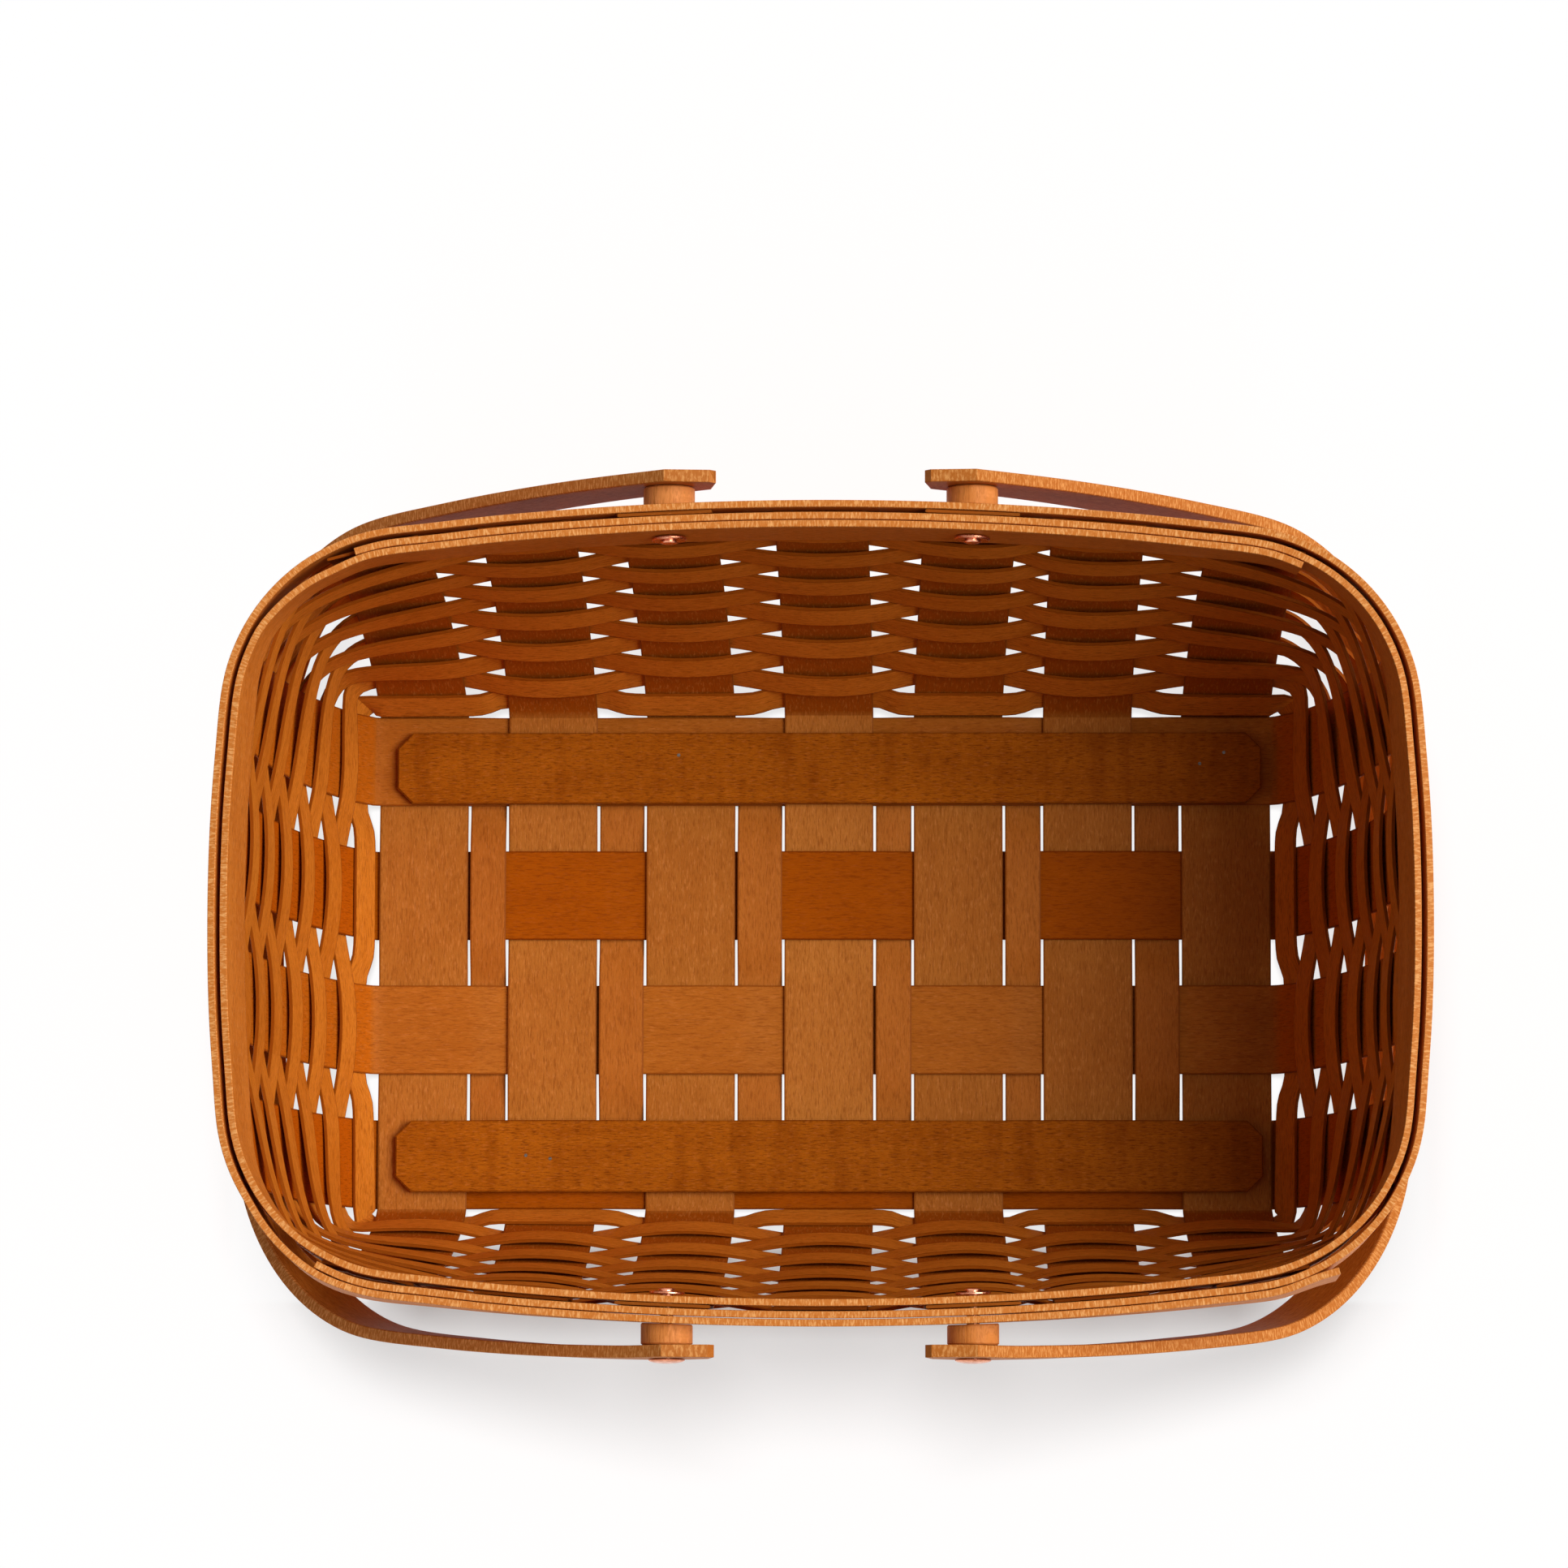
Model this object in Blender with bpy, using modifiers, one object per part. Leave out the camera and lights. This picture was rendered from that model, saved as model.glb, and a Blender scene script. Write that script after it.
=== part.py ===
"""Market basket of woven wood splints, with two rim bands and two swing handles.

Metres, +Z up. The origin is on the plane that the basket stands on, under its middle. X runs along
the basket and Y across it, with +Y its back. Splints are open surfaces with a Solidify modifier.
"""

import math

import bmesh
import bpy
from mathutils import Matrix, Vector

# Splint stock
STAKE_WIDTH = 0.03175
STAKE_THICK = 0.0010
WEAVER_WIDTH = 0.0127
WEAVER_THICK = 0.0010
FILLER_NARROW = 0.0127
FILLER_WIDE = 0.015875
FILLER_THICK = 0.0010
FIT_GAP = 0.0003
EDGE_MARGIN = 0.0006

# Floor
FILLERS = (FILLER_NARROW, FILLER_WIDE, FILLER_WIDE, FILLER_NARROW, FILLER_NARROW, FILLER_WIDE)
SLIT = 0.0009
LONG_STAKE_GAP = 0.01645
LONG_STAKE_COUNT = 4
FLOOR_SHIFT_Y = -0.0018
FILLER_TUCK = 0.004
SIDE_RUN = 0.0003
END_RUN = 0.0012
BEND_RISE = 0.0024
# Places across a stake next to a corner where it bends as it cups, from the corner's side
CUP_SHARES = (0.0, 0.3, 0.6, 1.0)

# Rails inside the floor and runners under it
RAIL_LENGTH = 0.3090
RAIL_WIDTH = 0.0254
RAIL_THICK = 0.0032
RAIL_CLIP = 0.0055
RAIL_INSET = 0.0028
RUNNER_THICK = 0.0032

# Walls
HEIGHT = 0.1905
SIDE_FLARE = 0.0448
END_FLARE = 0.0374
FOOT_RISE = 0.0160
SIDE_FOOT_KICK = 0.0013
END_FOOT_KICK = 0.0023
SIDE_STRAIGHT_SHARE = 0.60
END_STRAIGHT_SHARE = 0.40
ROW_COUNT = 12
CUP_ROW_COUNT = 2
ROW_STEP_COUNT = 20
SIDE_BOW_RADIUS = 1.150
END_BOW_RADIUS = 0.700
FLOOR_CORNER_RADIUS = 0.003
RIM_CORNER_RADIUS = 0.062
CORNER_STEP = 0.011
CORNER_BULGE = 0.0008
FAN_SHARES = (-0.19, -0.03, -0.09, 0.0, 0.16, 0.05, 0.19)
LONG_FAN_SHARES = (0.09, 0.03, -0.03, -0.09)

# Rim bands
RIM_HEIGHT = 0.0254
SIDE_RIM_SPREAD = 0.00095
END_RIM_SPREAD = 0.0040
BAND_THICK = 0.00245
LAP_GAP = 0.00025
ROW_TO_RIM = 0.0006
LAP_SPRING = 0.0015
RIM_CORNER_STATIONS = 5
MITRE_LIMIT_SHARE = 0.5
TIP_DROP = 0.0060

# Handles, with r the distance from the hinge axis along the arm
PIVOT_X = 0.0512
HANDLE_WIDTH = 0.0254
HANDLE_THICK = 0.0042
# From the rim's outer face at an end to the bail's inner face, with the handle level
BAIL_CLEARANCE = 0.03146
HANDLE_TAIL = 0.0190
TAIL_CLIP = 0.0110
ARM_BOW_RADIUS = 1.060
BAIL_BOW_RADIUS = 0.610
BAIL_CORNER_RADIUS = 0.0737
BAIL_SKEW = 0.0023
REST_GAP = 0.0014
REST_LIMIT_DEGREES = 60
REST_TRY_COUNT = 40
ARM_STEP = 0.020
BEND_STEPS = 8

# Hinge hardware
RIVET_RADIUS = 0.0022
RIVET_HEAD_RADIUS = 0.0061
RIVET_HEAD_THICK = 0.0014
HEAD_FLAT_SHARE = 0.75
HEAD_SLOPE_SHARE = 0.40
RIVET_PEEN_RADIUS = 0.0030
RIVET_PEEN_THICK = 0.0009
PEEN_FLAT_SHARE = 0.80
PEEN_SIDE_SHARE = 0.70
BURR_RADIUS = 0.0060
BURR_THICK = 0.0010
SPACER_RADIUS = 0.0087
SPACER_THICK = 0.0070
ROUND_SIDES = 16
SMOOTH_DEGREES = 40
BORE_OVERRUN = 0.0130
MERGE_DISTANCE = 0.00001
TINY = 0.000000001

# Heights and places that follow
STAKE_SHIFT = (STAKE_THICK + FIT_GAP) / 2
FILLER_SHIFT = STAKE_SHIFT + (STAKE_THICK + FILLER_THICK) / 2 + FIT_GAP
FLOOR_Z = RUNNER_THICK + FIT_GAP + FILLER_SHIFT + FILLER_THICK / 2
RIM_FOOT_Z = HEIGHT - RIM_HEIGHT
PIVOT_Z = HEIGHT - RIM_HEIGHT / 2
WALL_FOOT_Z = FLOOR_Z + BEND_RISE
ROWS_TOP_Z = RIM_FOOT_Z - ROW_TO_RIM
WEAVER_OFFSET = STAKE_THICK / 2 + FIT_GAP + WEAVER_THICK / 2
BAND_OFFSET = STAKE_THICK / 2 + FIT_GAP + BAND_THICK / 2
LAP_STEP = BAND_THICK + LAP_GAP
BORE_RADIUS = RIVET_RADIUS + FIT_GAP
BACK, FRONT, RIGHT, LEFT = "back", "front", "right", "left"


def stake_places():
    """The middle of each crossing stake in X, with the fillers and slits between them."""
    steps = [STAKE_WIDTH + filler + 2 * SLIT for filler in FILLERS]
    middle = sum(steps[: len(steps) // 2])
    places = [-middle]
    for step in steps:
        places.append(places[-1] + step)
    return places


CROSS_X = stake_places()
FILLER_X = [
    place + STAKE_WIDTH / 2 + SLIT + filler / 2 for place, filler in zip(CROSS_X, FILLERS)
]
LONG_PITCH = STAKE_WIDTH + LONG_STAKE_GAP
LONG_Y = [
    FLOOR_SHIFT_Y + LONG_PITCH * ((LONG_STAKE_COUNT - 1) / 2 - i) for i in range(LONG_STAKE_COUNT)
]
BASE = {
    BACK: LONG_Y[0] + STAKE_WIDTH / 2 + SIDE_RUN,
    FRONT: -LONG_Y[-1] + STAKE_WIDTH / 2 + SIDE_RUN,
    RIGHT: CROSS_X[-1] + STAKE_WIDTH / 2 + END_RUN,
    LEFT: -CROSS_X[0] + STAKE_WIDTH / 2 + END_RUN,
}
# The second layer of a rim band lies inside at the back and outside at the front
HALF_WIDTH = (BASE[BACK] + BASE[FRONT]) / 2 + SIDE_FLARE
HALF_LENGTH = (BASE[RIGHT] + BASE[LEFT]) / 2 + END_FLARE
END_RIM_FACE = HALF_LENGTH + END_RIM_SPREAD + STAKE_THICK / 2 + FIT_GAP + BAND_THICK
HANDLE_REACH = END_RIM_FACE + BAIL_CLEARANCE + HANDLE_THICK / 2 - PIVOT_X
TOP = {
    BACK: HALF_WIDTH + LAP_STEP / 2,
    FRONT: HALF_WIDTH - LAP_STEP / 2,
    RIGHT: HALF_LENGTH,
    LEFT: HALF_LENGTH,
}
RIM_SPREAD = {
    BACK: SIDE_RIM_SPREAD,
    FRONT: SIDE_RIM_SPREAD,
    RIGHT: END_RIM_SPREAD,
    LEFT: END_RIM_SPREAD,
}
FOOT_KICK = {
    BACK: SIDE_FOOT_KICK,
    FRONT: SIDE_FOOT_KICK,
    RIGHT: END_FOOT_KICK,
    LEFT: END_FOOT_KICK,
}
STRAIGHT_SHARE = {
    BACK: SIDE_STRAIGHT_SHARE,
    FRONT: SIDE_STRAIGHT_SHARE,
    RIGHT: END_STRAIGHT_SHARE,
    LEFT: END_STRAIGHT_SHARE,
}


def half_extent(side, z):
    """Distance of the middle of a wall's stakes from the centre plane: the wall kicks out
    at its foot, then leans out less and less, and the rim has a lean of its own."""
    if z > RIM_FOOT_Z:
        return TOP[side] + RIM_SPREAD[side] * (z - RIM_FOOT_Z) / RIM_HEIGHT
    rise = (z - FLOOR_Z) / (RIM_FOOT_Z - FLOOR_Z)
    straight = STRAIGHT_SHARE[side]
    flared = straight * rise + (1 - straight) * (1 - (1 - rise) ** 3)
    foot = BASE[side] + FOOT_KICK[side]
    kicked = FOOT_KICK[side] * max(1 - (z - FLOOR_Z) / FOOT_RISE, 0.0) ** 2
    return foot + (TOP[side] - foot) * flared - kicked


class Quadrant:
    """A quarter of a rounded outline: a bowed side, a corner arc and a bowed end, all tangent.

    Near the floor the bows' radii are tens of metres, so this keeps to plain numbers, which
    are finer than a Vector's.
    """

    def __init__(self, length, width, side_radius, end_radius, corner_radius):
        self.side_radius = side_radius
        self.end_radius = end_radius
        self.radius = corner_radius
        self.side_y0 = width - side_radius
        self.end_x0 = length - end_radius
        reach_side = side_radius - corner_radius
        reach_end = end_radius - corner_radius
        span = math.hypot(self.end_x0, self.side_y0)
        along = (reach_side**2 - reach_end**2 + span**2) / (2 * span)
        across = math.sqrt(max(reach_side**2 - along**2, 0.0))
        unit_x, unit_y = self.end_x0 / span, -self.side_y0 / span
        self.x = unit_x * along + unit_y * across
        self.y = self.side_y0 + unit_y * along - unit_x * across
        self.first = math.atan2(self.x, self.y - self.side_y0)
        self.last = math.atan2(self.x - self.end_x0, self.y)

    def on_corner(self, angle):
        """A point of the corner arc, at an angle measured from +Y towards +X."""
        x = self.x + self.radius * math.sin(angle)
        return Vector((x, self.y + self.radius * math.cos(angle)))

    def side_y(self, x):
        """Y of the outline at X, on the bowed side or the corner arc."""
        if x <= self.x + self.radius * math.sin(self.first):
            return self.side_y0 + math.sqrt(self.side_radius**2 - x**2)
        reach = min(x - self.x, self.radius)
        return self.y + math.sqrt(self.radius**2 - reach**2)

    def end_x(self, y):
        """X of the outline at Y, on the bowed end or the corner arc."""
        if y <= self.y + self.radius * math.cos(self.last):
            return self.end_x0 + math.sqrt(self.end_radius**2 - y**2)
        reach = min(y - self.y, self.radius)
        return self.x + math.sqrt(self.radius**2 - reach**2)


def wall_quadrant(side, end, z):
    """The outline of the stakes' middle at a height, between one long side and one end."""
    share = (z - FLOOR_Z) / (HEIGHT - FLOOR_Z)
    corner = FLOOR_CORNER_RADIUS + (RIM_CORNER_RADIUS - FLOOR_CORNER_RADIUS) * share
    return Quadrant(
        half_extent(end, z),
        half_extent(side, z),
        SIDE_BOW_RADIUS / share,
        END_BOW_RADIUS / share,
        corner,
    )


def row_heights():
    """Heights of the edges between rows, equally spaced along the slope of the long wall."""
    steps = ROW_COUNT * ROW_STEP_COUNT
    heights = [WALL_FOOT_Z + (ROWS_TOP_Z - WALL_FOOT_Z) * i / steps for i in range(steps + 1)]
    lengths = [0.0]
    for low, high in zip(heights, heights[1:]):
        out = half_extent(BACK, high) - half_extent(BACK, low)
        lengths.append(lengths[-1] + math.hypot(high - low, out))
    edges = []
    for row in range(ROW_COUNT + 1):
        wanted = lengths[-1] * row / ROW_COUNT
        i = max(k for k, length in enumerate(lengths) if length <= wanted + TINY)
        i = min(i, steps - 1)
        share = (wanted - lengths[i]) / (lengths[i + 1] - lengths[i])
        edges.append(heights[i] + share * (heights[i + 1] - heights[i]))
    return edges


ROW_EDGES = row_heights()
LOW_ROWS = ROW_COUNT // 3
CUP_START_Z = ROW_EDGES[-1 - CUP_ROW_COUNT]
CUP_END_Z = ROW_EDGES[-1]
# Splints are straight between these heights: every row near the floor and in the cupped
# rows, and every second row between them
LEVELS = ROW_EDGES[:LOW_ROWS] + ROW_EDGES[LOW_ROWS : -1 - CUP_ROW_COUNT : 2]
LEVELS += ROW_EDGES[-1 - CUP_ROW_COUNT :] + [HEIGHT]


def between(a, b, share):
    return a + (b - a) * share


def width_shares(index, count, outer_first):
    """Nodes across a stake: a stake next to a corner has two more, so that it can cup."""
    if index not in (0, count - 1):
        return (0.0, 1.0)
    if (index == 0) == outer_first:
        return CUP_SHARES
    return tuple(1 - share for share in reversed(CUP_SHARES))


def cross_shares(index):
    return width_shares(index, len(CROSS_X), True)


def long_shares(index):
    return width_shares(index, len(LONG_Y), False)


def chord(first, last, shares, curve, cup):
    """Nodes from first to last, a stake's width apart, drawn towards the curve by the cup share."""
    middle = (first + last) / 2
    along = (last - first).normalized() * STAKE_WIDTH / 2
    nodes = [between(middle - along, middle + along, share) for share in shares]
    return [nodes[0]] + [node.lerp(curve(node), cup) for node in nodes[1:-1]] + [nodes[-1]]


def cross_nodes_at_level(index, side, z):
    """Nodes in plan of a crossing stake in a long wall, by rising X."""
    share = (z - FLOOR_Z) / (HEIGHT - FLOOR_Z)
    x = CROSS_X[index] + FAN_SHARES[index] * STAKE_WIDTH * share
    sign = 1 if side == BACK else -1

    def on_wall(x_now):
        quadrant = wall_quadrant(side, RIGHT if x_now > 0 else LEFT, z)
        return Vector((x_now, sign * quadrant.side_y(abs(x_now))))

    cup = min(max((z - CUP_START_Z) / (CUP_END_Z - CUP_START_Z), 0.0), 1.0)
    first, last = on_wall(x - STAKE_WIDTH / 2), on_wall(x + STAKE_WIDTH / 2)
    return chord(first, last, cross_shares(index), lambda node: on_wall(node.x), cup)


def long_nodes_at_level(index, end, z):
    """Nodes in plan of a lengthwise stake in an end wall, by rising Y."""
    share = (z - FLOOR_Z) / (HEIGHT - FLOOR_Z)
    y = LONG_Y[index] + (LONG_FAN_SHARES[index] * STAKE_WIDTH - FLOOR_SHIFT_Y) * share
    sign = 1 if end == RIGHT else -1

    def on_wall(y_now):
        quadrant = wall_quadrant(BACK if y_now > 0 else FRONT, end, z)
        return Vector((sign * quadrant.end_x(abs(y_now)), y_now))

    cup = min(max((z - CUP_START_Z) / (CUP_END_Z - CUP_START_Z), 0.0), 1.0)
    first, last = on_wall(y - STAKE_WIDTH / 2), on_wall(y + STAKE_WIDTH / 2)
    return chord(first, last, long_shares(index), lambda node: on_wall(node.y), cup)


def nodes_at(nodes_at_level, index, wall, z):
    """Nodes at any height, on straight lines between the levels."""
    upper = next(i for i, level in enumerate(LEVELS) if level >= z - TINY and i > 0)
    low, high = LEVELS[upper - 1], LEVELS[upper]
    share = (z - low) / (high - low)
    lows = nodes_at_level(index, wall, low)
    highs = nodes_at_level(index, wall, high)
    return [a.lerp(b, share) for a, b in zip(lows, highs)]


class Station:
    """A place on a ring round the wall: point in plan, way outward, and the upright there."""

    def __init__(self, point, along, upright=None, wall=None):
        self.point = point
        self.out = Vector((-along.y, along.x)).normalized()
        self.upright = upright
        self.wall = wall


def upright_stations(nodes, upright, wall, keep_all):
    """Stations over one upright: its edges, a margin beyond them, and its cupped nodes if kept."""
    along = (nodes[-1] - nodes[0]).normalized()
    stations = [Station(nodes[0] - along * EDGE_MARGIN, along, upright, wall)]
    if keep_all:
        for before, node, after in zip(nodes, nodes[1:], nodes[2:]):
            stations.append(Station(node, after - before, upright, wall))
        if len(nodes) > 2:
            first, last = nodes[1] - nodes[0], nodes[-1] - nodes[-2]
            stations[0] = Station(nodes[0] - first.normalized() * EDGE_MARGIN, first, upright, wall)
            along = last.normalized()
    stations.append(Station(nodes[-1] + along * EDGE_MARGIN, along, upright, wall))
    return stations


def corner_stations(side, end, z, before, after, count):
    """Stations on the corner arc between the last station of one wall and the first of the next."""
    quadrant = wall_quadrant(side, end, z)
    sign_x = 1 if end == RIGHT else -1
    sign_y = 1 if side == BACK else -1

    def angle(station):
        away_x = station.point.x * sign_x - quadrant.x
        away_y = station.point.y * sign_y - quadrant.y
        return min(max(math.atan2(away_x, away_y), quadrant.first), quadrant.last)

    start, stop = angle(before), angle(after)
    stations = []
    for i in range(count):
        at = between(start, stop, (i + 1) / (count + 1))
        point = quadrant.on_corner(at)
        out = Vector((math.sin(at) * sign_x, math.cos(at) * sign_y))
        along = Vector((out.y, -out.x))
        stations.append(Station(Vector((point.x * sign_x, point.y * sign_y)), along))
    return stations


def ring_stations(z, corner_count, keep_all):
    """Stations round the whole wall at a height, clockwise from above, from the left of the back."""
    cross = range(len(CROSS_X))
    long_ones = range(len(LONG_Y))
    walls = (
        (BACK, cross_nodes_at_level, cross, "cross", False),
        (RIGHT, long_nodes_at_level, long_ones, "long", True),
        (FRONT, cross_nodes_at_level, reversed(cross), "cross", True),
        (LEFT, long_nodes_at_level, reversed(long_ones), "long", False),
    )
    sides = []
    for wall, nodes_of, indices, kind, falling in walls:
        stations = []
        for index in indices:
            nodes = nodes_at(nodes_of, index, wall, z)
            if falling:
                nodes.reverse()
            stations += upright_stations(nodes, (kind, index), wall, keep_all)
        sides.append(stations)
    corners = ((BACK, RIGHT), (FRONT, RIGHT), (FRONT, LEFT), (BACK, LEFT))
    ring = []
    for i, (stations, (side, end)) in enumerate(zip(sides, corners)):
        following = sides[(i + 1) % len(sides)]
        ring += stations
        ring += corner_stations(side, end, z, stations[-1], following[0], corner_count)
    return ring


def lean_factor(low, high, height):
    """How much further out in plan an offset reaches, because the wall leans."""
    return math.hypot(1.0, (high.point - low.point).dot(low.out) / height)


def in_space(point, z):
    return Vector((point.x, point.y, z))


def collection_named(name):
    collection = bpy.data.collections.new(name)
    bpy.context.scene.collection.children.link(collection)
    return collection


def clear_scene():
    for item in list(bpy.data.objects):
        bpy.data.objects.remove(item)


def material_named(name, colour, roughness, metallic=0.0):
    material = bpy.data.materials.new(name)
    material.use_nodes = True
    shader = material.node_tree.nodes["Principled BSDF"]
    shader.inputs["Base Color"].default_value = (*colour, 1.0)
    shader.inputs["Roughness"].default_value = roughness
    shader.inputs["Metallic"].default_value = metallic
    material.diffuse_color = (*colour, 1.0)
    return material


clear_scene()
PARTS = collection_named("market_basket")
CUTTERS = collection_named("cutters")
STAKE_WOOD = material_named("stake_maple", (0.42, 0.17, 0.05), 0.50)
WEAVER_WOOD = material_named("weaver_maple", (0.34, 0.12, 0.03), 0.52)
FILLER_WOOD = material_named("filler_maple", (0.36, 0.14, 0.04), 0.52)
BAND_WOOD = material_named("band_ash", (0.50, 0.22, 0.08), 0.48)
RAIL_WOOD = material_named("rail_oak", (0.28, 0.08, 0.01), 0.45)
HANDLE_WOOD = material_named("handle_oak", (0.50, 0.20, 0.05), 0.42)
COPPER = material_named("copper", (0.75, 0.28, 0.15), 0.28, 1.0)


def add_object(name, mesh, material, collection=PARTS):
    thing = bpy.data.objects.new(name, mesh)
    collection.objects.link(thing)
    if material:
        mesh.materials.append(material)
    return thing


def split_quads(chain, following, closed, rising):
    """Cuts each quad between two chains in two, all the same way up the wall, so that layers
    that lie on each other are faceted alike."""
    count = len(chain) if closed else len(chain) - 1
    for i in range(count):
        after = (i + 1) % len(chain)
        a, b = (chain[i], following[after]) if rising else (chain[after], following[i])
        face = (set(a.link_faces) & set(b.link_faces)).pop()
        bmesh.utils.face_split(face, a, b)


def loft(name, rows, material, closed=False, rising=True):
    """An open surface through rows of points: a chain of edges, drawn out row by row."""
    mesh = bpy.data.meshes.new(name)
    shape = bmesh.new()
    chain = [shape.verts.new(point) for point in rows[0]]
    pairs = list(zip(chain, chain[1:]))
    if closed:
        pairs.append((chain[-1], chain[0]))
    edges = [shape.edges.new(pair) for pair in pairs]
    for row in rows[1:]:
        drawn = bmesh.ops.extrude_edge_only(shape, edges=edges)["geom"]
        edges = [item for item in drawn if isinstance(item, bmesh.types.BMEdge)]
        fresh = {item for item in drawn if isinstance(item, bmesh.types.BMVert)}
        following = []
        for vert, point in zip(chain, row):
            partner = next(
                edge.other_vert(vert) for edge in vert.link_edges if edge.other_vert(vert) in fresh
            )
            partner.co = point
            following.append(partner)
        split_quads(chain, following, closed, rising)
        chain = following
    bmesh.ops.recalc_face_normals(shape, faces=shape.faces)
    shape.to_mesh(mesh)
    shape.free()
    return add_object(name, mesh, material)


def thicken(thing, thickness):
    solid = thing.modifiers.new("thickness", "SOLIDIFY")
    solid.thickness = thickness
    solid.offset = 0.0
    solid.use_even_offset = True
    solid.use_rim = True
    return thing


def cut(thing, cutter):
    boolean = thing.modifiers.new("cut", "BOOLEAN")
    boolean.operation = "DIFFERENCE"
    boolean.solver = "EXACT"
    boolean.object = cutter
    return thing


def wall_run(nodes_of, index, wall, top_z):
    """Nodes of one upright at each level from the foot of the wall to its tip."""
    heights = LEVELS[:-1] + [top_z]
    return [
        [in_space(node, z) for node in nodes_at(nodes_of, index, wall, z)] for z in heights
    ]


def riveted(index):
    """Whether a crossing stake carries a hinge: its tip then stays at full height."""
    return abs(abs(CROSS_X[index]) - PIVOT_X) < STAKE_WIDTH / 2


def make_cross_stake(index, bores):
    """A stake across the floor and up both long walls."""
    shares = cross_shares(index)
    top_z = HEIGHT if riveted(index) else HEIGHT - TIP_DROP
    front = wall_run(cross_nodes_at_level, index, FRONT, top_z)
    back = wall_run(cross_nodes_at_level, index, BACK, top_z)
    last = len(LONG_Y) - 1
    floor = [(-BASE[FRONT], cross_lift(index, last))]
    for i in reversed(range(len(LONG_Y))):
        reach = STAKE_WIDTH / 2 + EDGE_MARGIN
        lift = cross_lift(index, i)
        if i < last:
            floor.append((LONG_Y[i] - reach, lift))
        if i > 0:
            floor.append((LONG_Y[i] + reach, lift))
    floor.append((BASE[BACK], cross_lift(index, 0)))
    rows = []
    for k, share in enumerate(shares):
        x = CROSS_X[index] - STAKE_WIDTH / 2 + share * STAKE_WIDTH
        row = [level[k] for level in reversed(front)]
        row += [Vector((x, y, FLOOR_Z + lift)) for y, lift in floor]
        row += [level[k] for level in back]
        rows.append(row)
    stake = thicken(loft(f"stake_t{index + 1}", rows, STAKE_WOOD), STAKE_THICK)
    if riveted(index):
        cut(stake, bores)


def cross_lift(index, long_index):
    """A crossing stake lies over or under a lengthwise one by turns."""
    return -STAKE_SHIFT if (index + long_index) % 2 == 0 else STAKE_SHIFT


def make_long_stake(index):
    """A stake along the floor and up both end walls."""
    shares = long_shares(index)
    top_z = HEIGHT - TIP_DROP
    left = wall_run(long_nodes_at_level, index, LEFT, top_z)
    right = wall_run(long_nodes_at_level, index, RIGHT, top_z)
    floor = [(-BASE[LEFT], -cross_lift(0, index))]
    last = len(CROSS_X) - 1
    for i, x in enumerate(CROSS_X):
        reach = STAKE_WIDTH / 2 + EDGE_MARGIN
        lift = -cross_lift(i, index)
        if i > 0:
            floor.append((x - reach, lift))
        if i < last:
            floor.append((x + reach, lift))
    floor.append((BASE[RIGHT], -cross_lift(last, index)))
    rows = []
    for k, share in enumerate(shares):
        y = LONG_Y[index] - STAKE_WIDTH / 2 + share * STAKE_WIDTH
        row = [level[k] for level in reversed(left)]
        row += [Vector((x, y, FLOOR_Z + lift)) for x, lift in floor]
        row += [level[k] for level in right]
        rows.append(row)
    thicken(loft(f"stake_l{index + 1}", rows, STAKE_WOOD, rising=False), STAKE_THICK)


def filler_lift(filler, long_index):
    """Every filler is tucked under the outer lengthwise stakes, and over one of the middle ones."""
    over = long_index == (1 if filler % 2 == 0 else 2)
    return FILLER_SHIFT if over else -FILLER_SHIFT


def make_filler(index):
    """A short splint in the floor, between two crossing stakes."""
    reach = STAKE_WIDTH / 2 + EDGE_MARGIN
    tuck = STAKE_WIDTH / 2 - FILLER_TUCK
    last = len(LONG_Y) - 1
    path = []
    for i in reversed(range(len(LONG_Y))):
        lift = filler_lift(index, i)
        path.append((LONG_Y[i] - (tuck if i == last else reach), lift))
        path.append((LONG_Y[i] + (tuck if i == 0 else reach), lift))
    rows = []
    for sign in (-1, 1):
        x = FILLER_X[index] + sign * FILLERS[index] / 2
        rows.append([Vector((x, y, FLOOR_Z + lift)) for y, lift in path])
    thicken(loft(f"filler_{index + 1}", rows, FILLER_WOOD), FILLER_THICK)


def passes_outside(row, station):
    """Rows pass inside and outside the uprights by turns, and neighbours do the opposite."""
    kind, index = station.upright
    odd_place = index % 2 == 0
    outside_on_odd_row = odd_place if kind == "long" or station.wall == FRONT else not odd_place
    return outside_on_odd_row if row % 2 == 0 else not outside_on_odd_row


def ring_offsets(row, ring):
    """Signed distance of a weaver from the stakes' middle at each station."""
    offsets = [None] * len(ring)
    for i, station in enumerate(ring):
        if station.upright:
            offsets[i] = WEAVER_OFFSET if passes_outside(row, station) else -WEAVER_OFFSET
    i = 0
    while i < len(ring):
        if offsets[i] is not None:
            i += 1
            continue
        count = 1
        while i + count < len(ring) and offsets[i + count] is None:
            count += 1
        start = offsets[i - 1]
        stop = offsets[(i + count) % len(ring)]
        for k in range(count):
            share = (k + 1) / (count + 1)
            offsets[i + k] = between(start, stop, share) + CORNER_BULGE * 4 * share * (1 - share)
        i += count
    return offsets


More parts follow.
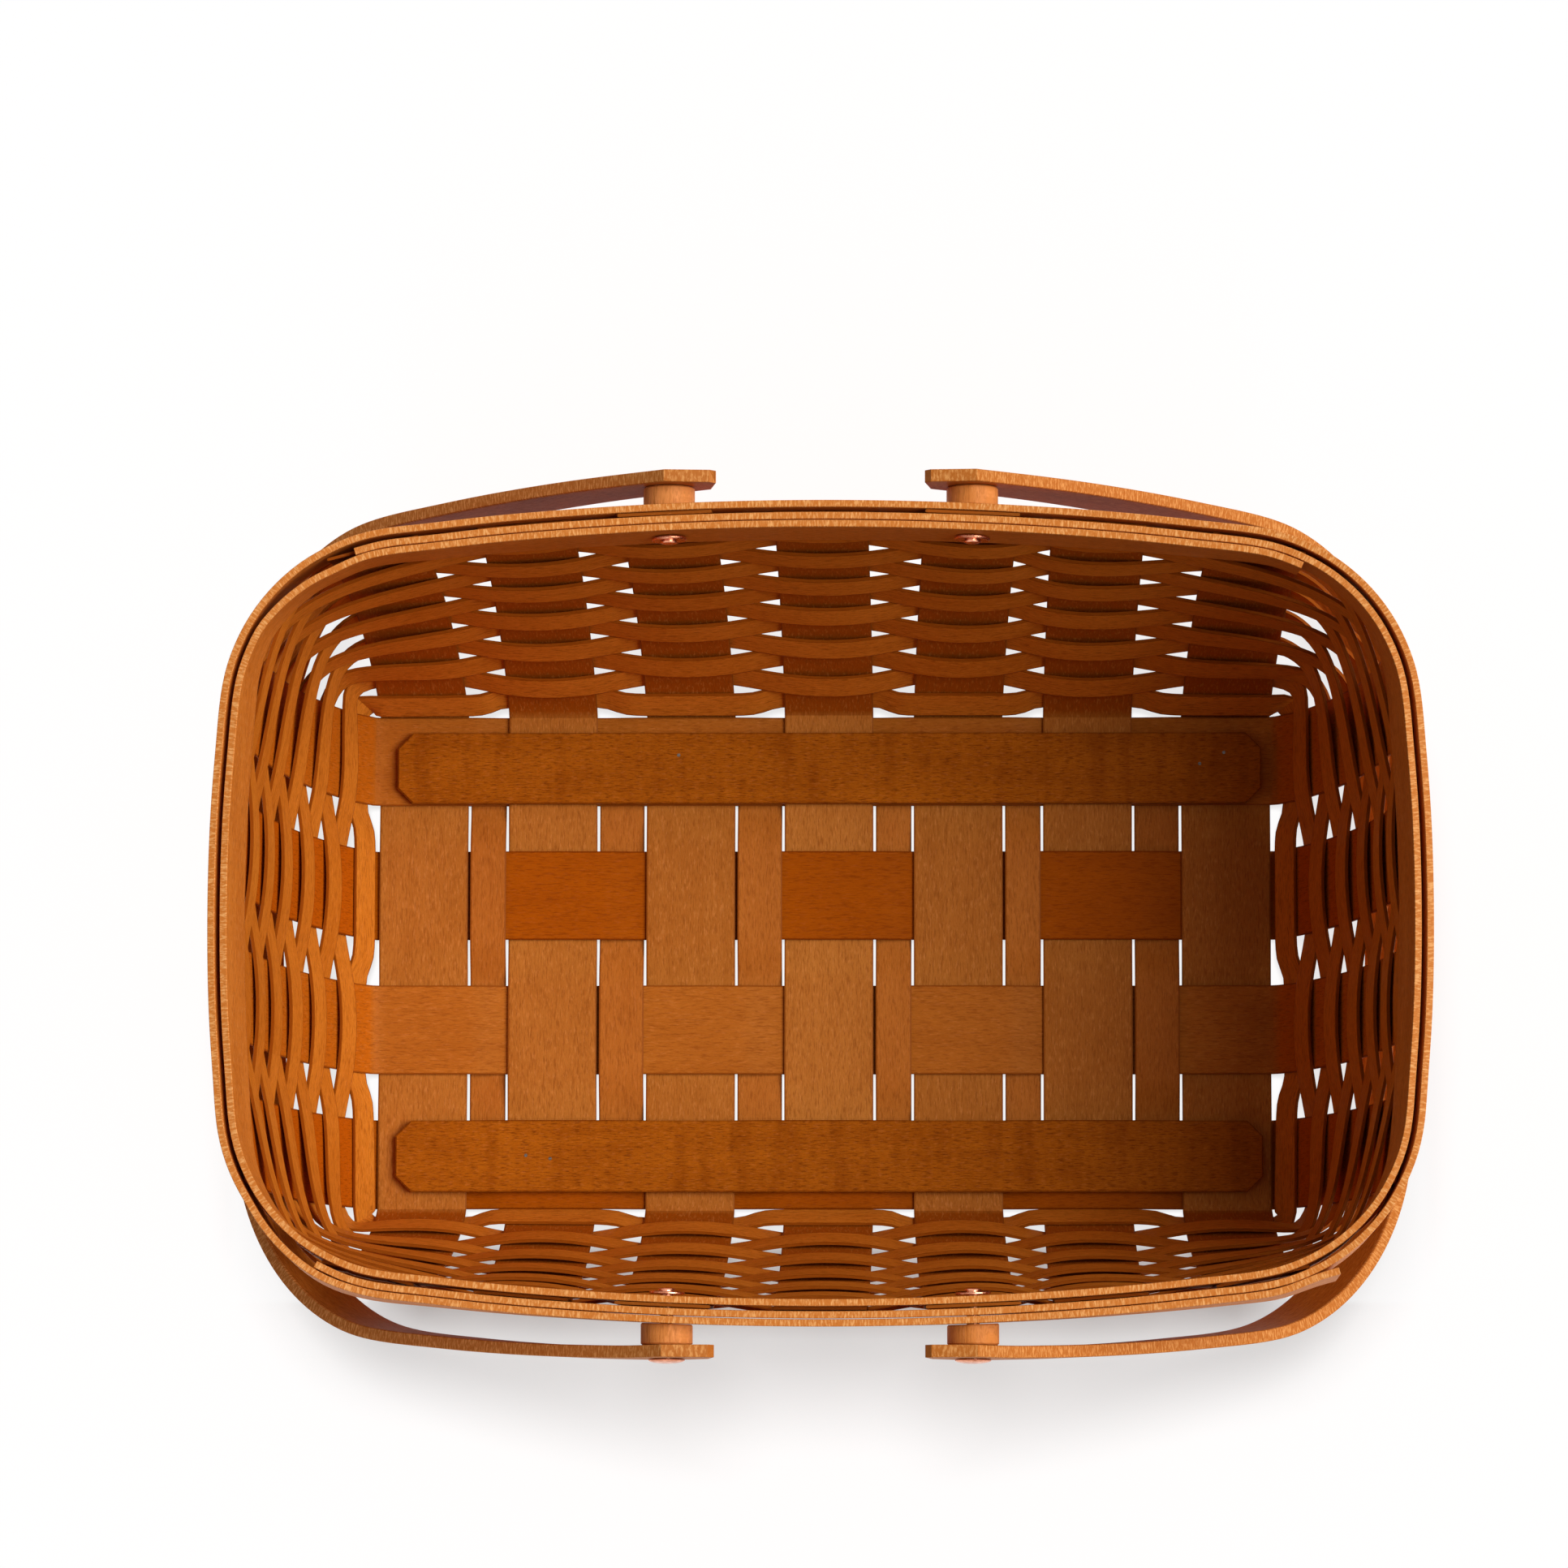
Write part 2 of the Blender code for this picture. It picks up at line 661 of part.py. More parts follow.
def make_weaver(row):
    """One closed ring of splint, woven through the uprights."""
    foot, top = ROW_EDGES[row], ROW_EDGES[row + 1]
    middle = (foot + top) / 2
    out = half_extent(BACK, top) - half_extent(BACK, foot)
    rise = WEAVER_WIDTH * (top - foot) / math.hypot(top - foot, out)
    low_z, high_z = middle - rise / 2, middle + rise / 2
    quadrant = wall_quadrant(BACK, LEFT, middle)
    arc = quadrant.radius * (quadrant.last - quadrant.first)
    count = max(1, round(arc / CORNER_STEP) - 1)
    keep_all = top > CUP_START_Z
    low = ring_stations(low_z, count, keep_all)
    high = ring_stations(high_z, count, keep_all)
    offsets = ring_offsets(row, low)
    rows = [[], []]
    for below, above, offset in zip(low, high, offsets):
        reach = offset * lean_factor(below, above, rise)
        rows[0].append(in_space(below.point + below.out * reach, low_z))
        rows[1].append(in_space(above.point + above.out * reach, high_z))
    thicken(loft(f"weaver_{row + 1:02d}", rows, WEAVER_WOOD, closed=True), WEAVER_THICK)


def mitred(ring):
    """Way outward at each station of a closed ring, between its two neighbouring edges."""
    ways = []
    for i, station in enumerate(ring):
        before = (station.point - ring[i - 1].point).normalized()
        after = (ring[(i + 1) % len(ring)].point - station.point).normalized()
        out = Vector((-(before.y + after.y), before.x + after.x)).normalized()
        ways.append(out / max(out.dot(Vector((-after.y, after.x))), MITRE_LIMIT_SHARE))
    return ways


RIM_LOW = ring_stations(RIM_FOOT_Z, RIM_CORNER_STATIONS, True)
RIM_HIGH = ring_stations(HEIGHT, RIM_CORNER_STATIONS, True)


def band_rows(first, offsets):
    """Both edges of a rim band that runs clockwise from a station, one offset a station."""
    low_ways, high_ways = mitred(RIM_LOW), mitred(RIM_HIGH)
    low_row, high_row = [], []
    for step, offset in enumerate(offsets):
        i = (first + step) % len(RIM_LOW)
        reach = offset * lean_factor(RIM_LOW[i], RIM_HIGH[i], RIM_HEIGHT)
        low_row.append(in_space(RIM_LOW[i].point + low_ways[i] * reach, RIM_FOOT_Z))
        high_row.append(in_space(RIM_HIGH[i].point + high_ways[i] * reach, HEIGHT))
    return [low_row, high_row]


def station_index(wall, index, node):
    """Place in the rim's ring of a node of a crossing stake, counted clockwise."""
    found = [
        i
        for i, station in enumerate(RIM_LOW)
        if station.wall == wall and station.upright == ("cross", index)
    ]
    return found[node]


def make_inner_rim(bores):
    """One band inside the stakes: a turn against them, then a second layer along the back."""
    first = station_index(BACK, 0, 1)
    stop = len(RIM_LOW) + station_index(BACK, len(CROSS_X) - 1, -1)
    second = len(RIM_LOW) + station_index(BACK, 0, 0)
    offsets = []
    for i in range(first, stop + 1):
        share = min(max((i - second + RIM_CORNER_STATIONS) / RIM_CORNER_STATIONS, 0.0), 1.0)
        offsets.append(-BAND_OFFSET - LAP_STEP * share)
    band = thicken(loft("inner_rim", band_rows(first, offsets), BAND_WOOD), BAND_THICK)
    cut(band, bores)


def make_outer_rim(bores):
    """One band outside the stakes: a second layer along the front, then a turn against them."""
    first = station_index(FRONT, len(CROSS_X) - 1, 0) - 1
    leave = station_index(FRONT, 0, -1)
    stop = len(RIM_LOW) + leave
    offsets = []
    for i in range(first, stop + 1):
        share = 1 - min(max((i - leave) / RIM_CORNER_STATIONS, 0.0), 1.0)
        offsets.append(BAND_OFFSET + LAP_STEP * share)
    offsets[0] += LAP_SPRING
    band = thicken(loft("outer_rim", band_rows(first, offsets), BAND_WOOD), BAND_THICK)
    cut(band, bores)


def clipped_board(name, centre, thickness, material):
    """A flat board with its four corners cut off."""
    half_x, half_y = RAIL_LENGTH / 2, RAIL_WIDTH / 2
    shape = bmesh.new()
    bmesh.ops.create_cube(shape, size=1.0)
    bmesh.ops.scale(shape, vec=(2 * half_x, 2 * half_y, thickness), verts=shape.verts)
    upright = [
        edge for edge in shape.edges if abs(edge.verts[0].co.z - edge.verts[1].co.z) > thickness / 2
    ]
    bmesh.ops.bevel(shape, geom=upright, offset=RAIL_CLIP, segments=1, affect="EDGES")
    mesh = bpy.data.meshes.new(name)
    shape.to_mesh(mesh)
    shape.free()
    board = add_object(name, mesh, material)
    board.location = centre


def make_boards():
    """Rails inside the floor and runners under it, along the outer lengthwise stakes."""
    rail_z = FLOOR_Z + STAKE_SHIFT + STAKE_THICK / 2 + FIT_GAP + RAIL_THICK / 2
    places = ((BACK, LONG_Y[0] - RAIL_INSET), (FRONT, LONG_Y[-1] + RAIL_INSET))
    for side, y in places:
        clipped_board(f"floor_rail_{side}", (0.0, y, rail_z), RAIL_THICK, RAIL_WOOD)
        clipped_board(f"runner_{side}", (0.0, y, RUNNER_THICK / 2), RUNNER_THICK, RAIL_WOOD)


def hinge_face(side, end):
    """Point and direction of the riveted stake's middle surface on a hinge axis."""
    index = next(
        i for i, x in enumerate(CROSS_X) if riveted(i) and (x > 0) == (end == RIGHT)
    )
    low = nodes_at(cross_nodes_at_level, index, side, RIM_FOOT_Z)
    high = nodes_at(cross_nodes_at_level, index, side, HEIGHT)
    along = in_space(low[-1] - low[0], 0.0).normalized()
    corner = in_space(low[0], RIM_FOOT_Z)
    up = in_space(high[0] - low[0], RIM_HEIGHT).normalized()
    out = along.cross(up).normalized()
    if out.y * (1 if side == BACK else -1) < 0:
        out.negate()
    x = PIVOT_X if end == RIGHT else -PIVOT_X
    y = corner.y - (out.x * (x - corner.x) + out.z * (PIVOT_Z - corner.z)) / out.y
    return Vector((x, y, PIVOT_Z)), out


def rim_layers(side, lapped_side):
    """Thickness of the rim's layers on one side of the stakes, with the gaps between them."""
    return FIT_GAP + BAND_THICK + (LAP_STEP if side == lapped_side else 0.0)


def arm_distance():
    """From the centre plane to the middle of the handles' arms: the rim's outer face at the
    hinge, on the wall where it is further out, then a spacer, then half the handle."""
    faces = []
    for side in (BACK, FRONT):
        for end in (LEFT, RIGHT):
            point, out = hinge_face(side, end)
            layers = STAKE_THICK / 2 + rim_layers(side, FRONT) + FIT_GAP
            faces.append(abs(point.y) + layers / abs(out.y))
    return max(faces) + SPACER_THICK + FIT_GAP + HANDLE_THICK / 2


ARM_Y = arm_distance()


def cylinder(name, radius, low, high, material, collection=PARTS, sides=ROUND_SIDES):
    """A cylinder on its own Z axis between two heights on it."""
    shape = bmesh.new()
    bmesh.ops.create_cone(
        shape,
        cap_ends=True,
        segments=sides,
        radius1=radius,
        radius2=radius,
        depth=high - low,
        matrix=Matrix.Translation((0.0, 0.0, (low + high) / 2)),
    )
    mesh = bpy.data.meshes.new(name)
    shape.to_mesh(mesh)
    shape.free()
    mesh.shade_smooth()
    mesh.set_sharp_from_angle(angle=math.radians(SMOOTH_DEGREES))
    return add_object(name, mesh, material, collection)


def aim(thing, point, way):
    """Puts an object at a point, with its Z axis along a direction."""
    thing.rotation_mode = "QUATERNION"
    thing.rotation_quaternion = Vector(way).to_track_quat("Z", "Y")
    thing.location = point


def make_bores():
    """The four rivet bores, as one cutter."""
    shape = bmesh.new()
    inner = HALF_WIDTH - LAP_STEP - BORE_OVERRUN
    outer = ARM_Y + BORE_OVERRUN
    for x in (-PIVOT_X, PIVOT_X):
        for sign in (-1, 1):
            turn = Matrix.Rotation(math.radians(90), 4, "X")
            place = Matrix.Translation((x, sign * (inner + outer) / 2, PIVOT_Z))
            bmesh.ops.create_cone(
                shape,
                cap_ends=True,
                segments=ROUND_SIDES,
                radius1=BORE_RADIUS,
                radius2=BORE_RADIUS,
                depth=outer - inner,
                matrix=place @ turn,
            )
    mesh = bpy.data.meshes.new("pivot_bores")
    shape.to_mesh(mesh)
    shape.free()
    bores = add_object("pivot_bores", mesh, None, CUTTERS)
    bores.hide_render = True
    bores.display_type = "WIRE"
    return bores


def make_spacer(side, end, bores):
    """A wooden spacer: square to the handle, and trimmed to the lean of the rim."""
    point, out = hinge_face(side, end)
    seat = point + out * (STAKE_THICK / 2 + rim_layers(side, FRONT) + FIT_GAP)
    sign = 1 if side == BACK else -1
    face_y = ARM_Y - HANDLE_THICK / 2 - FIT_GAP
    name = f"spacer_{side}_{end}"
    spacer = cylinder(name, SPACER_RADIUS, abs(seat.y) - SPACER_RADIUS, face_y, HANDLE_WOOD)
    shape = bmesh.new()
    shape.from_mesh(spacer.data)
    aim(spacer, (point.x, 0.0, PIVOT_Z), (0.0, sign, 0.0))
    bpy.context.view_layer.update()
    to_own = spacer.matrix_world.inverted()
    geometry = shape.verts[:] + shape.edges[:] + shape.faces[:]
    trimmed = bmesh.ops.bisect_plane(
        shape,
        geom=geometry,
        plane_co=to_own @ seat,
        plane_no=to_own.to_3x3() @ out,
        clear_inner=True,
    )
    loop = [item for item in trimmed["geom_cut"] if isinstance(item, bmesh.types.BMEdge)]
    bmesh.ops.contextual_create(shape, geom=loop)
    bmesh.ops.recalc_face_normals(shape, faces=shape.faces)
    shape.to_mesh(spacer.data)
    shape.free()
    cut(spacer, bores)


def burr_seat(side, end):
    """Point on the hinge axis, and direction, of the innermost face of the rim."""
    point, out = hinge_face(side, end)
    depth = STAKE_THICK / 2 + rim_layers(side, BACK)
    return point - Vector((0.0, depth / out.y, 0.0)), out


def make_burr(side, end, bores):
    """A copper washer that the rivet is peened over, flat on the inner rim."""
    seat, out = burr_seat(side, end)
    name = f"burr_{side}_{end}"
    burr = cylinder(name, BURR_RADIUS, FIT_GAP, FIT_GAP + BURR_THICK, COPPER)
    aim(burr, seat, -out)
    cut(burr, bores)


def turned(name, profile, material):
    """A round solid on its own Z axis, from a profile of (radius, height) points, top first."""
    mesh = bpy.data.meshes.new(name)
    shape = bmesh.new()
    verts = [shape.verts.new((radius, 0.0, height)) for radius, height in profile]
    for pair in zip(verts, verts[1:]):
        shape.edges.new(pair)
    shape.to_mesh(mesh)
    shape.free()
    thing = add_object(name, mesh, material)
    screw = thing.modifiers.new("turn", "SCREW")
    screw.axis = "Z"
    screw.angle = 2 * math.pi
    screw.steps = ROUND_SIDES
    screw.render_steps = ROUND_SIDES
    screw.use_merge_vertices = True
    screw.merge_threshold = MERGE_DISTANCE
    screw.use_smooth_shade = True
    return thing


def make_rivet(side, end):
    """A copper rivet: head outside the handle, shank on the hinge axis, peened over the burr."""
    seat, out = burr_seat(side, end)
    sign = 1 if side == BACK else -1
    head = ARM_Y + HANDLE_THICK / 2 + FIT_GAP
    top = head + RIVET_HEAD_THICK
    peen = abs(seat.y) - (FIT_GAP + BURR_THICK + FIT_GAP) / abs(out.y)
    peen -= RIVET_PEEN_RADIUS * abs(out.z)
    end_y = peen - RIVET_PEEN_THICK
    profile = (
        (0.0, top),
        (RIVET_HEAD_RADIUS * HEAD_FLAT_SHARE, top),
        (RIVET_HEAD_RADIUS, between(top, head, HEAD_SLOPE_SHARE)),
        (RIVET_HEAD_RADIUS, head),
        (RIVET_RADIUS, head),
        (RIVET_RADIUS, peen),
        (RIVET_PEEN_RADIUS, peen),
        (RIVET_PEEN_RADIUS * PEEN_FLAT_SHARE, between(peen, end_y, PEEN_SIDE_SHARE)),
        (0.0, end_y),
    )
    rivet = turned(f"rivet_{side}_{end}", profile, COPPER)
    aim(rivet, (PIVOT_X if end == RIGHT else -PIVOT_X, 0.0, PIVOT_Z), (0.0, sign, 0.0))


def handle_path():
    """Half of the handle's middle line, as (r, y, width share) from its clipped tail to the bail."""
    full_share = 1.0
    tail_share = 1 - 2 * TAIL_CLIP / HANDLE_WIDTH
    path = [
        (-HANDLE_TAIL, ARM_Y, tail_share),
        (-HANDLE_TAIL + TAIL_CLIP, ARM_Y, full_share),
        (SPACER_RADIUS, ARM_Y, full_share),
    ]
    arc = Quadrant(HANDLE_REACH, ARM_Y, ARM_BOW_RADIUS, BAIL_BOW_RADIUS, BAIL_CORNER_RADIUS)
    arm_end = arc.on_corner(arc.first).x
    steps = max(2, round(arm_end / ARM_STEP))
    for i in range(1, steps):
        r = arm_end * i / steps
        path.append((r, arc.side_y(r), full_share))
    for i in range(BEND_STEPS + 1):
        point = arc.on_corner(between(arc.first, arc.last, i / BEND_STEPS))
        path.append((point.x, point.y, full_share))
    bail_half = path[-1][1]
    steps = max(2, round(bail_half / ARM_STEP))
    for i in range(1, steps):
        y = bail_half * (1 - i / steps)
        path.append((arc.end_x(y), y, full_share))
    path.append((arc.end_x(0.0), 0.0, full_share))
    return path


def skewed(r, y):
    """The bent handles lean a little to the back, from just past the spacers on."""
    return y + BAIL_SKEW * max(r - SPACER_RADIUS, 0.0) / (HANDLE_REACH - SPACER_RADIUS)


def bail_gap(end, angle, line):
    """Least distance in X between the bail's lower inner edge and the end wall's weavers."""
    reach = WEAVER_OFFSET + WEAVER_THICK / 2
    gaps = []
    for r, y, _ in line:
        inner = r - HANDLE_THICK / 2
        x = PIVOT_X + inner * math.cos(angle) - HANDLE_WIDTH / 2 * math.sin(angle)
        z = PIVOT_Z - inner * math.sin(angle) - HANDLE_WIDTH / 2 * math.cos(angle)
        z = min(max(z, WALL_FOOT_Z), RIM_FOOT_Z)
        wall = wall_quadrant(BACK if y > 0 else FRONT, end, z)
        lean = (half_extent(end, z) - half_extent(end, z - BEND_RISE)) / BEND_RISE
        if abs(y) < wall.y:
            gaps.append(x - wall.end_x(abs(y)) - reach * math.hypot(1.0, lean))
    return min(gaps)


def rest_angle(end, line):
    """How far below level a handle hangs when its lower edge meets the end wall."""
    low, high = 0.0, math.radians(REST_LIMIT_DEGREES)
    for _ in range(REST_TRY_COUNT):
        middle = (low + high) / 2
        if bail_gap(end, middle, line) > REST_GAP:
            low = middle
        else:
            high = middle
    return low


def make_handle(end, bores):
    """A bent-wood bail. Its origin is on the hinge axis, and it hangs at rest against the wall."""
    sign = 1 if end == RIGHT else -1
    half = handle_path()
    line = [(r, -y, share) for r, y, share in half]
    line += [(r, y, share) for r, y, share in half[-2::-1]]
    line = [(r, skewed(r, y), share) for r, y, share in line]
    rows = []
    for edge in (-1, 1):
        row = []
        for r, y, share in line:
            row.append(Vector((sign * r, y, edge * share * HANDLE_WIDTH / 2)))
        rows.append(row)
    handle = thicken(loft(f"handle_{end}", rows, HANDLE_WOOD), HANDLE_THICK)
    handle.location = (sign * PIVOT_X, 0.0, PIVOT_Z)
    handle.rotation_euler = (0.0, sign * rest_angle(end, line), 0.0)
    cut(handle, bores)


def build():
    bores = make_bores()
    for index in range(len(CROSS_X)):
        make_cross_stake(index, bores)
    for index in range(len(LONG_Y)):
        make_long_stake(index)
    for index in range(len(FILLERS)):
        make_filler(index)
    for row in range(ROW_COUNT):
        make_weaver(row)
    make_inner_rim(bores)
    make_outer_rim(bores)
    make_boards()
    for side in (BACK, FRONT):
        for end in (LEFT, RIGHT):
            make_spacer(side, end, bores)
            make_burr(side, end, bores)
            make_rivet(side, end)
    for end in (LEFT, RIGHT):
        make_handle(end, bores)


build()
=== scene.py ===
"""Looks of a woven splint basket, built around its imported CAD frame.

Every splint, band and handle is read from its CAD solid as a row of sections, and lofted again as
a smooth strip with eased edges. Its grain runs along the strip, in attributes that the wood
materials read. Lengths are in metres, +Z is up and +Y is the basket's back.
"""

import math

import bmesh
import bpy
import numpy as np
from mathutils import Matrix, Vector


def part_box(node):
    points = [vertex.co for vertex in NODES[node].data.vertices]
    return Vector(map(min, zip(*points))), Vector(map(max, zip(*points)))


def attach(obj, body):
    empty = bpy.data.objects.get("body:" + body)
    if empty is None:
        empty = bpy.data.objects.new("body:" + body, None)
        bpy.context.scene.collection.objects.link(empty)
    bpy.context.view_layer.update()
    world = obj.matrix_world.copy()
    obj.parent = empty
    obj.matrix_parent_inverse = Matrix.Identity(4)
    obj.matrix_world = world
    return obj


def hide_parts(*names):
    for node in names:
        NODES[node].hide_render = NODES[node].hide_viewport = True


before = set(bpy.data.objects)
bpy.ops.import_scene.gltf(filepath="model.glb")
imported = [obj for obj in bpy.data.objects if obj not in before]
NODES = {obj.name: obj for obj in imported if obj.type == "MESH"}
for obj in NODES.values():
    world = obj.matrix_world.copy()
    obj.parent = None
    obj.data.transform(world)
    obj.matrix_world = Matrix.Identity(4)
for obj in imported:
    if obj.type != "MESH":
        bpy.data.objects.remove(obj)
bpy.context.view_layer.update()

# Reading the solids: what counts as one vertex, as nothing, as a sharp edge and as a narrow face,
# and the most that a level edge rises by its length
WELD = 0.000002
TINY = 1e-12
SHARP = math.radians(50)
NARROW = 1.2
LEVEL_RISE = 0.5

# Splints, bands and handles: an edge drops by EDGE_DROP of its ease, and FACE_START eases in from
# the edge the flat face begins
STRIP_STEP = 0.0035
FEWEST_STEPS = 4
SPLINT_EASE = 0.0003
BAND_EASE, BAND_ROUNDS = 0.0006, 2
HANDLE_EASE, HANDLE_ROUNDS = 0.0009, 3
HANDLE_SPREAD = 0.998
EDGE_DROP = 0.35
FACE_START = 1.7
SMOOTH_UNDER = math.radians(38)

# Weavers: high up they are wider, thicker and drawn taut round the corners, and the lowest lean
WEAVER_SPREAD = 1.045
WEAVER_THICKEN = 1.20
SEAT_REACH = 0.0024
TAUT_FROM, TAUT_TO = 0.020, 0.062
LEAN_PLACE = 0.36
LEAN_ASIDE = 0.12

# What sets one piece's grain apart from the next
SPLINT_SEED, SPLINT_SEED_STEP = 1.0, 0.37
BAND_SEED = 31.0
HANDLE_SEED = 41.0
SPACER_SEED, SPACER_SEED_STEP = 51.0, 100
RAIL_SEED = 61.0
RUNNER_SEED = 63.0

# Wear: the shares of its colour and its dent, how far from an edge it reaches, and how far from
# an edge its sawn face shows
WORN_SHARE, WORN_DENT = 0.80, 0.7
WORN_LEAST, WORN_SPREAD = 0.00015, 0.0005
SAWN_WITHIN = 0.00006
SAWN_DARK = 0.55

# Wood: the shares of figure and clouds in its tone and of fibres in its dark lines, the pale
# tone by the light one, the step from piece to piece, its roughness, and its bumps
FIGURE_SHARE, CLOUDS_SHARE = 0.35, 0.35
FIBRE_SHARE = 0.45
PALE_GAIN, PALE_LIFT = 1.25, 0.03
PIECES_APART = 37.0
WOOD_ROUGH, ROUGH_SPREAD = 0.40, 0.20
RAG_RISE, LINE_DENT = 0.3, 0.8
WOOD_BUMP, COPPER_BUMP = 0.5, 0.25
BUMP_DEPTH = 0.0002

# Where an upright's tone goes over from the floor's to the wall's: painted shade, a redder tone where
# it rises into the walls, standing in for the shade and orange bounce light between the weavers
WALL_SHADE_RISE = (0.0068, 0.0095)

# Metals: bright and dull tones, and roughness
COPPER_TONES = (0.93, 0.42, 0.26), (0.52, 0.17, 0.08)
COPPER_ROUGH, COPPER_ROUGH_SPREAD = 0.14, 0.25
STEEL_TONES = (0.16, 0.13, 0.11), (0.05, 0.03, 0.02)
STEEL_ROUGH, STEEL_ROUGH_SPREAD = 0.35, 0.3
STEEL_METALLIC = 0.6

# Brads in the floor rails, each at its share of the rail's length and width
BRAD_RADIUS = 0.0006
BRAD_PROUD = 0.00012
BRAD_LENGTH = 0.0020
BRAD_SIDES = 16
BRAD_SHARES = {
    "back": ((0.326, 0.684), (0.929, 0.558), (0.957, 0.716)),
    "front": ((0.151, 0.511), (0.179, 0.467)),
}

# Boards
BOARD_EASE = 0.0005
BOARD_CLIP = 0.0055

# Turned pieces
TURN_SIDES = 64
DOME_STEPS = 6
RIVET_HEAD, RIVET_EDGE, RIVET_TAPER = 0.0014, 0.0003, 0.985
RIVET_SHANK = 0.0022
PEEN_RADIUS, PEEN_HEIGHT = 0.0030, 0.0009
PEEN_SHOULDER, PEEN_SHOULDER_SHARE = 0.0004, 0.93
PEEN_CROWN, PEEN_CROWN_SHARE = 0.0001, 0.55
BURR_SOFT = 0.6
SPACER_BORE = 0.0025
SPACER_EASE, SPACER_FOOT_EASE, SPACER_EDGE_SHARE = 0.0005, 0.0004, 0.07
SPACER_FACE_REACH = 0.0005
SPACER_UNWORN = 0.004

# Camera and light
IMAGE_SIDE = 1932
CAMERA_PLACE = (0.048, -0.2414, 2.8355)
CAMERA_TURN = (6.1298, 1.2897, 0.0836)
CAMERA_CLIP = (0.05, 100.0)
SENSOR = 36.0
FOCAL_PIXELS = 9786.6
STAGE_HALF = 20.0
WORLD_LIGHT = 0.17
KEY_STRENGTH = 3.1
KEY_ANGLE = 46.0
KEY_FROM = (0.75, 0.12, 1.0)
FLOOR_SUN_STRENGTH = 2.80
FLOOR_SUN_ANGLE = 13.0
FLOOR_SUN_FROM = (0.0, 0.095, 1.0)

# The floor's own glow, painted light: all over, raised under the basket where it lightens the basket's
# shadow, lowered at its front foot where that shadow shows darker, and where it changes
FLOOR_COLOUR = (0.95, 0.95, 0.95, 1.0)
WHITE = (1.0, 1.0, 1.0, 1.0)
FLOOR_GLOW = 0.62
UNDER_GLOW = 0.76
FOOT_GLOW = 0.34
UNDER_ENDS = (0.232, 0.212)
UNDER_BACK = (0.170, 0.150)
UNDER_FRONT = (-0.132, -0.122)
FOOT_ENDS = (0.165, 0.145)
FOOT_FRONT = (-0.136, -0.124)
FOOT_DEPTH = 0.022

CORNER_UPRIGHTS = ("stake_t1", "stake_t7", "stake_l1", "stake_l4")


def unit(vectors):
    lengths = np.linalg.norm(vectors, axis=-1, keepdims=True)
    return vectors / np.maximum(lengths, TINY)


class Strip:
    """A splint's solid as sections: its middle surface's two edges, in order along it."""

    def __init__(self, sections, thickness, closed):
        self.sections = sections
        self.thickness = thickness
        self.closed = closed
        self.tension = 0.0
        self.width = float(np.mean(np.linalg.norm(sections[:, 1] - sections[:, 0], axis=1)))


def walk(start, step, neighbours, stops):
    """Vertices from start by way of step along sharp edges, up to a stop or back to start."""
    chain = [start, step]
    while chain[-1] not in stops and chain[-1] is not start:
        ahead = [v for v in neighbours[chain[-1]] if v is not chain[-2]]
        chain.append(ahead[0])
    return chain


def narrowness(face):
    """A triangle's least height."""
    return 2 * face.calc_area() / max(edge.calc_length() for edge in face.edges)


def beside_narrow(shape):
    """Edges with a narrow face on one side: none of them is a crease across an upright."""
    narrow = NARROW * 2 * shape.calc_volume() / sum(face.calc_area() for face in shape.faces)
    return [e for e in shape.edges if min(narrowness(face) for face in e.link_faces) < narrow]


def rise(edge):
    return abs(edge.verts[0].co.z - edge.verts[1].co.z)


def near_level(shape):
    """Edges that rise little: none of them is a crease across a weaver."""
    return [e for e in shape.edges if rise(e) < LEVEL_RISE * e.calc_length()]


def every_edge(shape):
    return list(shape.edges)


def long_edges(shape, candidates):
    """The four chains of vertices along a strip's edges, and whether they are closed."""
    neighbours = {}
    for edge in candidates(shape):
        if edge.calc_face_angle(0.0) > SHARP:
            a, b = edge.verts
            neighbours.setdefault(a, []).append(b)
            neighbours.setdefault(b, []).append(a)
    corners = {v for v, found in neighbours.items() if len(found) > 2}
    closed = not corners
    chains = []
    if closed:
        seen = set()
        for vert in neighbours:
            if vert not in seen:
                chain = walk(vert, neighbours[vert][0], neighbours, ())[:-1]
                seen.update(chain)
                chains.append(chain)
    else:
        for corner in sorted(corners, key=lambda v: v.index):
            for step in neighbours[corner]:
                if step not in corners:
                    chain = walk(corner, step, neighbours, corners)
                    if chain[0].index < chain[-1].index:
                        chains.append(chain)
    chains.sort(key=lambda chain: -sum((b.co - a.co).length for a, b in zip(chain, chain[1:])))
    if closed and len(chains[2]) < len(chains[1]):
        return halved(chains[0]) + halved(chains[1]), False
    return chains[:4], closed


def halved(ring):
    """A strip's outline, once round, as its two long edges from one end to the other."""
    count = len(ring) // 2
    best = None
    for start in range(count):
        turned = ring[start:] + ring[:start]
        sides = turned[:count], turned[:count - 1:-1]
        apart = sum((a.co - b.co).length for a, b in zip(*sides))
        if best is None or apart < best[0]:
            best = (apart, sides)
    return [list(side) for side in best[1]]


def matched(chain, first, closed):
    """A chain turned round so that its vertices stand beside those of the first chain."""
    turns = range(len(chain)) if closed else (0,)
    found = [way[k:] + way[:k] for way in (chain, chain[::-1]) for k in turns]
    return min(found, key=lambda turned: sum((a.co - b.co).length for a, b in zip(turned, first)))


